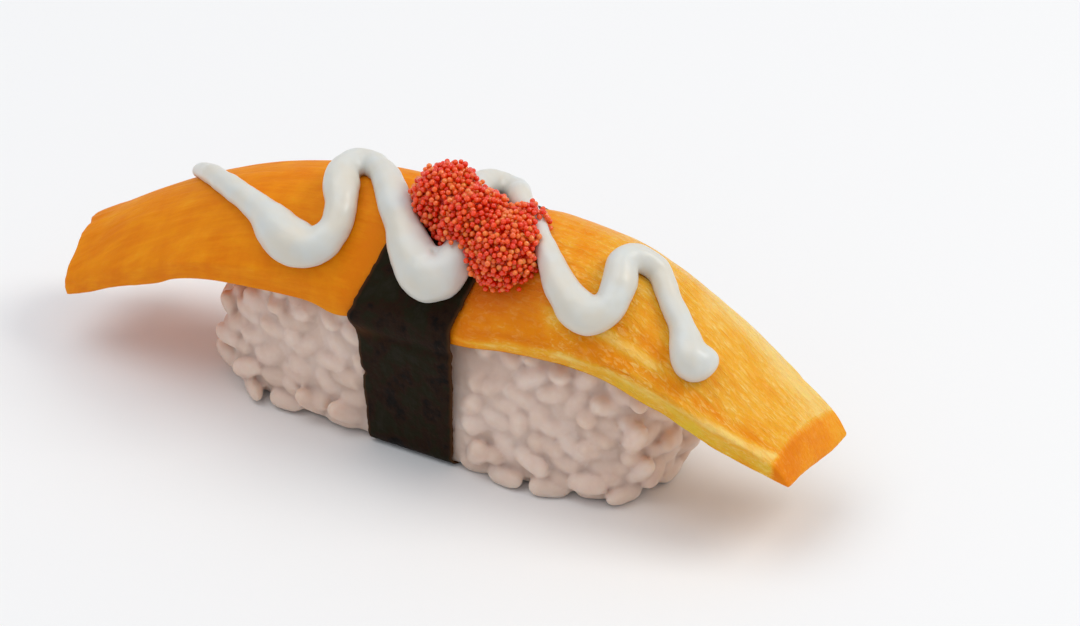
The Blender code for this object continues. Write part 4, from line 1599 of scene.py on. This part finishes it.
@dataclass
class RoeHeap:
    """A heap of fish eggs in four lumps on the slice.

    A lump is its x and y, its radius along the slice and its height, in millimetres.
    """

    lumps: tuple = (
        (0.9, -2.6, 4.1, 5.2),
        (5.4, -4.2, 4.2, 5.2),
        (9.7, -5.6, 4.3, 4.8),
        (10.2, -2.2, 2.2, 2.8),
    )
    layers: tuple = (EggLayer(0.25, 0.53, 9000, 0.22), EggLayer(0.7, 0.52, 6000, 0.1))
    egg: float = 0.32
    size_range: tuple = (0.86, 1.08)
    tone_shape: tuple = (1.4, 1.5)
    lift: float = 0.6
    clearance: float = 0.7
    highest: float = 32.3
    fallen: int = 10
    fallen_reach: float = 0.1
    fallen_lift: float = 0.7
    large_lumps: int = 3
    seed: int = 5
    core_inset: float = 0.8
    core_sink: float = 0.1
    core_voxel: float = 0.35
    core_soften: int = 3
    core_tone: float = 0.12

    def surface(self, count: int, draw: np.random.Generator, inset: float) -> np.ndarray:
        """Random points on the heap's outer face.

        Args:
            count: Points drawn on each lump.
            draw: Source of the random draws.
            inset: How far inside the face they lie, in millimetres.

        Returns:
            Rows of x, y and z in millimetres.
        """
        kept = []
        frames = [self.lump_frame(*lump[:2]) for lump in self.lumps]
        for index, (_, _, radius, height) in enumerate(self.lumps):
            way = unit(draw.normal(size=(count, 3)))
            base, turn = frames[index]
            points = base + (way * (radius - inset, radius - inset, height - inset)) @ turn.T
            inner = np.zeros(count, bool)
            for other, (_, _, wide, tall) in enumerate(self.lumps):
                if other != index:
                    place, face = frames[other]
                    local = (points - place) @ face / (wide - inset, wide - inset, tall - inset)
                    inner |= (local**2).sum(1) < 1
            kept.append(points[~inner])
        points = np.concatenate(kept)
        draw.shuffle(points)
        return points

    def lump_frame(self, x: float, y: float) -> tuple[np.ndarray, np.ndarray]:
        """Works out how a lump stands on the slice.

        Args:
            x: Its place along the nigiri, in millimetres.
            y: Its place across it, in millimetres.

        Returns:
            Its place on the slice, and its axes as columns.
        """
        spot = np.array([x]), np.array([y])
        up = SLICE.normal(*spot)[0]
        side = np.cross((0, 1, 0), up)
        side /= np.linalg.norm(side)
        return np.array([x, y, SLICE.top(*spot)[0]]), np.stack([side, np.cross(up, side), up], 1)

    def clear(self, points: np.ndarray, lift: float) -> np.ndarray:
        """Tells which points are above the slice and outside the mayonnaise.

        Args:
            points: Rows of x, y and z in millimetres.
            lift: Least height over the slice, in millimetres.

        Returns:
            True for each point where an egg can lie.
        """
        above = points[:, 2] > SLICE.top(points[:, 0], points[:, 1]) + lift
        above &= points[:, 2] < self.highest
        middle, radius = MayonnaiseBead().path()
        away = np.linalg.norm(points[:, None] - middle[None], axis=2) - radius
        return above & (away.min(axis=1) > self.egg * self.clearance)

    def build(self) -> list[bpy.types.Object]:
        """Models the wet core and the eggs over it.

        Returns:
            The core and the eggs.
        """
        draw = np.random.default_rng(self.seed)
        taken = np.empty((0, 3))
        for layer in self.layers:
            points = self.surface(layer.tries, draw, layer.inset)
            points += draw.normal(size=points.shape) * layer.stray
            for point in points[self.clear(points, self.egg * self.lift)]:
                if len(taken) and np.linalg.norm(taken - point, axis=1).min() < layer.apart:
                    continue
                taken = np.concatenate([taken, point[None]])
        loose = self.loose(draw)
        taken = np.concatenate([taken, loose[self.clear(loose, 0)]])
        seats = [(0, np.eye(3) * draw.uniform(*self.size_range), point * MM) for point in taken]
        tones = draw.beta(*self.tone_shape, len(seats))
        deselect_all()
        bpy.ops.mesh.primitive_ico_sphere_add(subdivisions=2, radius=self.egg * MM)
        eggs = joined_copies("roe_eggs", [bpy.context.object], seats)
        store(eggs, "tone", np.repeat(tones, len(eggs.data.vertices) // len(seats)))
        return [self.core(), eggs]

    def loose(self, draw: np.random.Generator) -> np.ndarray:
        """Finds places for the eggs that have rolled off the large lumps.

        Args:
            draw: Source of the random draws.

        Returns:
            Rows of x, y and z in millimetres.
        """
        rows = []
        for x, y, radius, _ in self.lumps[: self.large_lumps]:
            turn = draw.uniform(0, 2 * math.pi, self.fallen)
            reach = radius * (1 + np.abs(draw.normal(0, self.fallen_reach, self.fallen)))
            rows.append(np.stack([x + np.cos(turn) * reach, y + np.sin(turn) * reach], 1))
        x, y = np.concatenate(rows).T
        return np.stack([x, y, SLICE.top(x, y) + self.egg * self.fallen_lift], 1)

    def core(self) -> bpy.types.Object:
        """Models the wet mass between the eggs from one joined ball for each lump.

        Returns:
            The core.
        """
        parts = []
        for x, y, radius, height in self.lumps:
            deselect_all()
            bpy.ops.mesh.primitive_uv_sphere_add(segments=32, ring_count=16, radius=1)
            part = bpy.context.object
            base, turn = self.lump_frame(x, y)
            size = np.array([radius, radius, height]) - self.core_inset
            move_to(part, (base + (vertex_rows(part) * size) @ turn.T) * MM)
            parts.append(part)
        for part in parts:
            part.select_set(True)
        bpy.ops.object.join()
        obj = bpy.context.object
        obj.name = "roe_core"
        apply_modifier(obj, "REMESH", mode="VOXEL", voxel_size=self.core_voxel * MM)
        apply_modifier(obj, "SMOOTH", iterations=self.core_soften)
        co = vertex_rows(obj) / MM
        co[:, 2] = np.maximum(co[:, 2], SLICE.top(co[:, 0], co[:, 1]) - self.core_sink)
        move_to(obj, co * MM)
        store(obj, "tone", np.full(len(co), self.core_tone))
        smooth(obj)
        return obj


# ---- The studio -------------------------------------------------------------------------------------


@dataclass
class Studio:
    """A plain pale floor, soft lights and the camera."""

    azimuth: float = 30.5
    elevation: float = 31.0
    distance: float = 0.46
    pixels_per_metre: float = 9200.0
    frame_width: float = 1080.0
    sensor: float = 36.0
    aim: tuple = (0.0, 0.0, 0.012)
    offset_px: tuple = (82.5, 5.0)
    clip: tuple = (0.01, 20.0)
    floor_size: float = 6.0
    floor_drop: float = 0.0001
    paper: str = "#F4F3F1"
    sky: str = "#EEF3FC"
    sky_strength: float = 0.64

    def camera(self) -> None:
        """Places the camera so that the nigiri lies left of the frame's middle."""
        az, el = math.radians(self.azimuth), math.radians(self.elevation)
        back = Vector((math.sin(az) * math.cos(el), -math.cos(az) * math.cos(el), math.sin(el)))
        right = Vector((math.cos(az), math.sin(az), 0))
        up = back.cross(right)
        across, above = (p / self.pixels_per_metre for p in self.offset_px)
        target = Vector(self.aim) + right * across + up * above
        lens = self.pixels_per_metre * self.distance / self.frame_width * self.sensor
        data = bpy.data.cameras.new("camera")
        data.lens, data.sensor_width = lens, self.sensor
        data.clip_start, data.clip_end = self.clip
        camera = bpy.data.objects.new("camera", data)
        camera.location = target + back * self.distance
        camera.rotation_euler = back.to_track_quat("Z", "Y").to_euler()
        bpy.context.scene.collection.objects.link(camera)
        bpy.context.scene.camera = camera

    def floor(self) -> None:
        """Lays a wide pale floor."""
        deselect_all()
        bpy.ops.mesh.primitive_plane_add(size=self.floor_size, location=(0, 0, -self.floor_drop))
        floor = bpy.context.object
        floor.name = "floor"
        settings = {"Base Color": linear(self.paper), "Roughness": 0.9, "Specular IOR Level": 0.1}
        made, _, _ = new_material("studio_floor_paper", settings)
        floor.data.materials.append(made)

    def light(self, name: str, place: tuple, size: float, power: float, colour: str) -> None:
        """Adds a soft square light that faces the nigiri.

        Args:
            name: The light's name.
            place: Where it stands, in metres.
            size: Side of the square, in metres.
            power: Its power in watts.
            colour: Its colour as hex.
        """
        data = bpy.data.lights.new(name, "AREA")
        data.shape, data.size, data.energy = "SQUARE", size, power
        data.color = linear(colour)[:3]
        lamp = bpy.data.objects.new(name, data)
        lamp.location = place
        aim = Vector(place) - Vector(self.aim)
        lamp.rotation_euler = aim.to_track_quat("Z", "Y").to_euler()
        bpy.context.scene.collection.objects.link(lamp)

    def build(self) -> None:
        """Sets camera, floor, lights, sky and the plain colour transform."""
        self.camera()
        self.floor()
        self.light(
            "key_behind_right", place=(0.6, 0.3, 0.72), size=0.45, power=3.3, colour="#FFFBF4",
        )
        self.light("top", place=(-0.25, -0.1, 0.9), size=0.8, power=2.8, colour="#FFFFFF")
        world = bpy.data.worlds.new("sky")
        world.use_nodes = True
        background = world.node_tree.nodes["Background"]
        background.inputs["Color"].default_value = linear(self.sky)
        background.inputs["Strength"].default_value = self.sky_strength
        bpy.context.scene.world = world
        bpy.context.scene.view_settings.view_transform = "Standard"


# ---- Assembly -------------------------------------------------------------------------------------------


def dress(pieces: Sequence[bpy.types.Object], node: str, made: bpy.types.Material) -> None:
    """Gives pieces their finish and lets them stand for a solid.

    Args:
        pieces: The pieces, which together stand for the solid.
        node: The solid's node.
        made: The finish.
    """
    for piece in pieces:
        piece.data.materials.clear()
        piece.data.materials.append(made)
        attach(piece, BODY)
        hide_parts(node)
        LOG.info("%s: %d faces", piece.name, len(piece.data.polygons))


def main() -> None:
    """Builds the studio and the five parts of the nigiri."""
    logging.basicConfig(level=logging.INFO, format="%(name)s %(message)s")
    Studio().build()
    dress([MangoSlice().build()], "mango_slice", MangoFlesh().material())
    dress([SeaweedBelt().build()], "seaweed_belt", RoastedSeaweed().material())
    dress([RiceBlock().build()], "rice_block", CookedRice().material())
    dress([MayonnaiseBead().build()], "mayonnaise", Mayonnaise().material())
    dress(RoeHeap().build(), "flying_fish_roe", FishRoe().material())
    deselect_all()


if __name__ == "__main__":
    main()
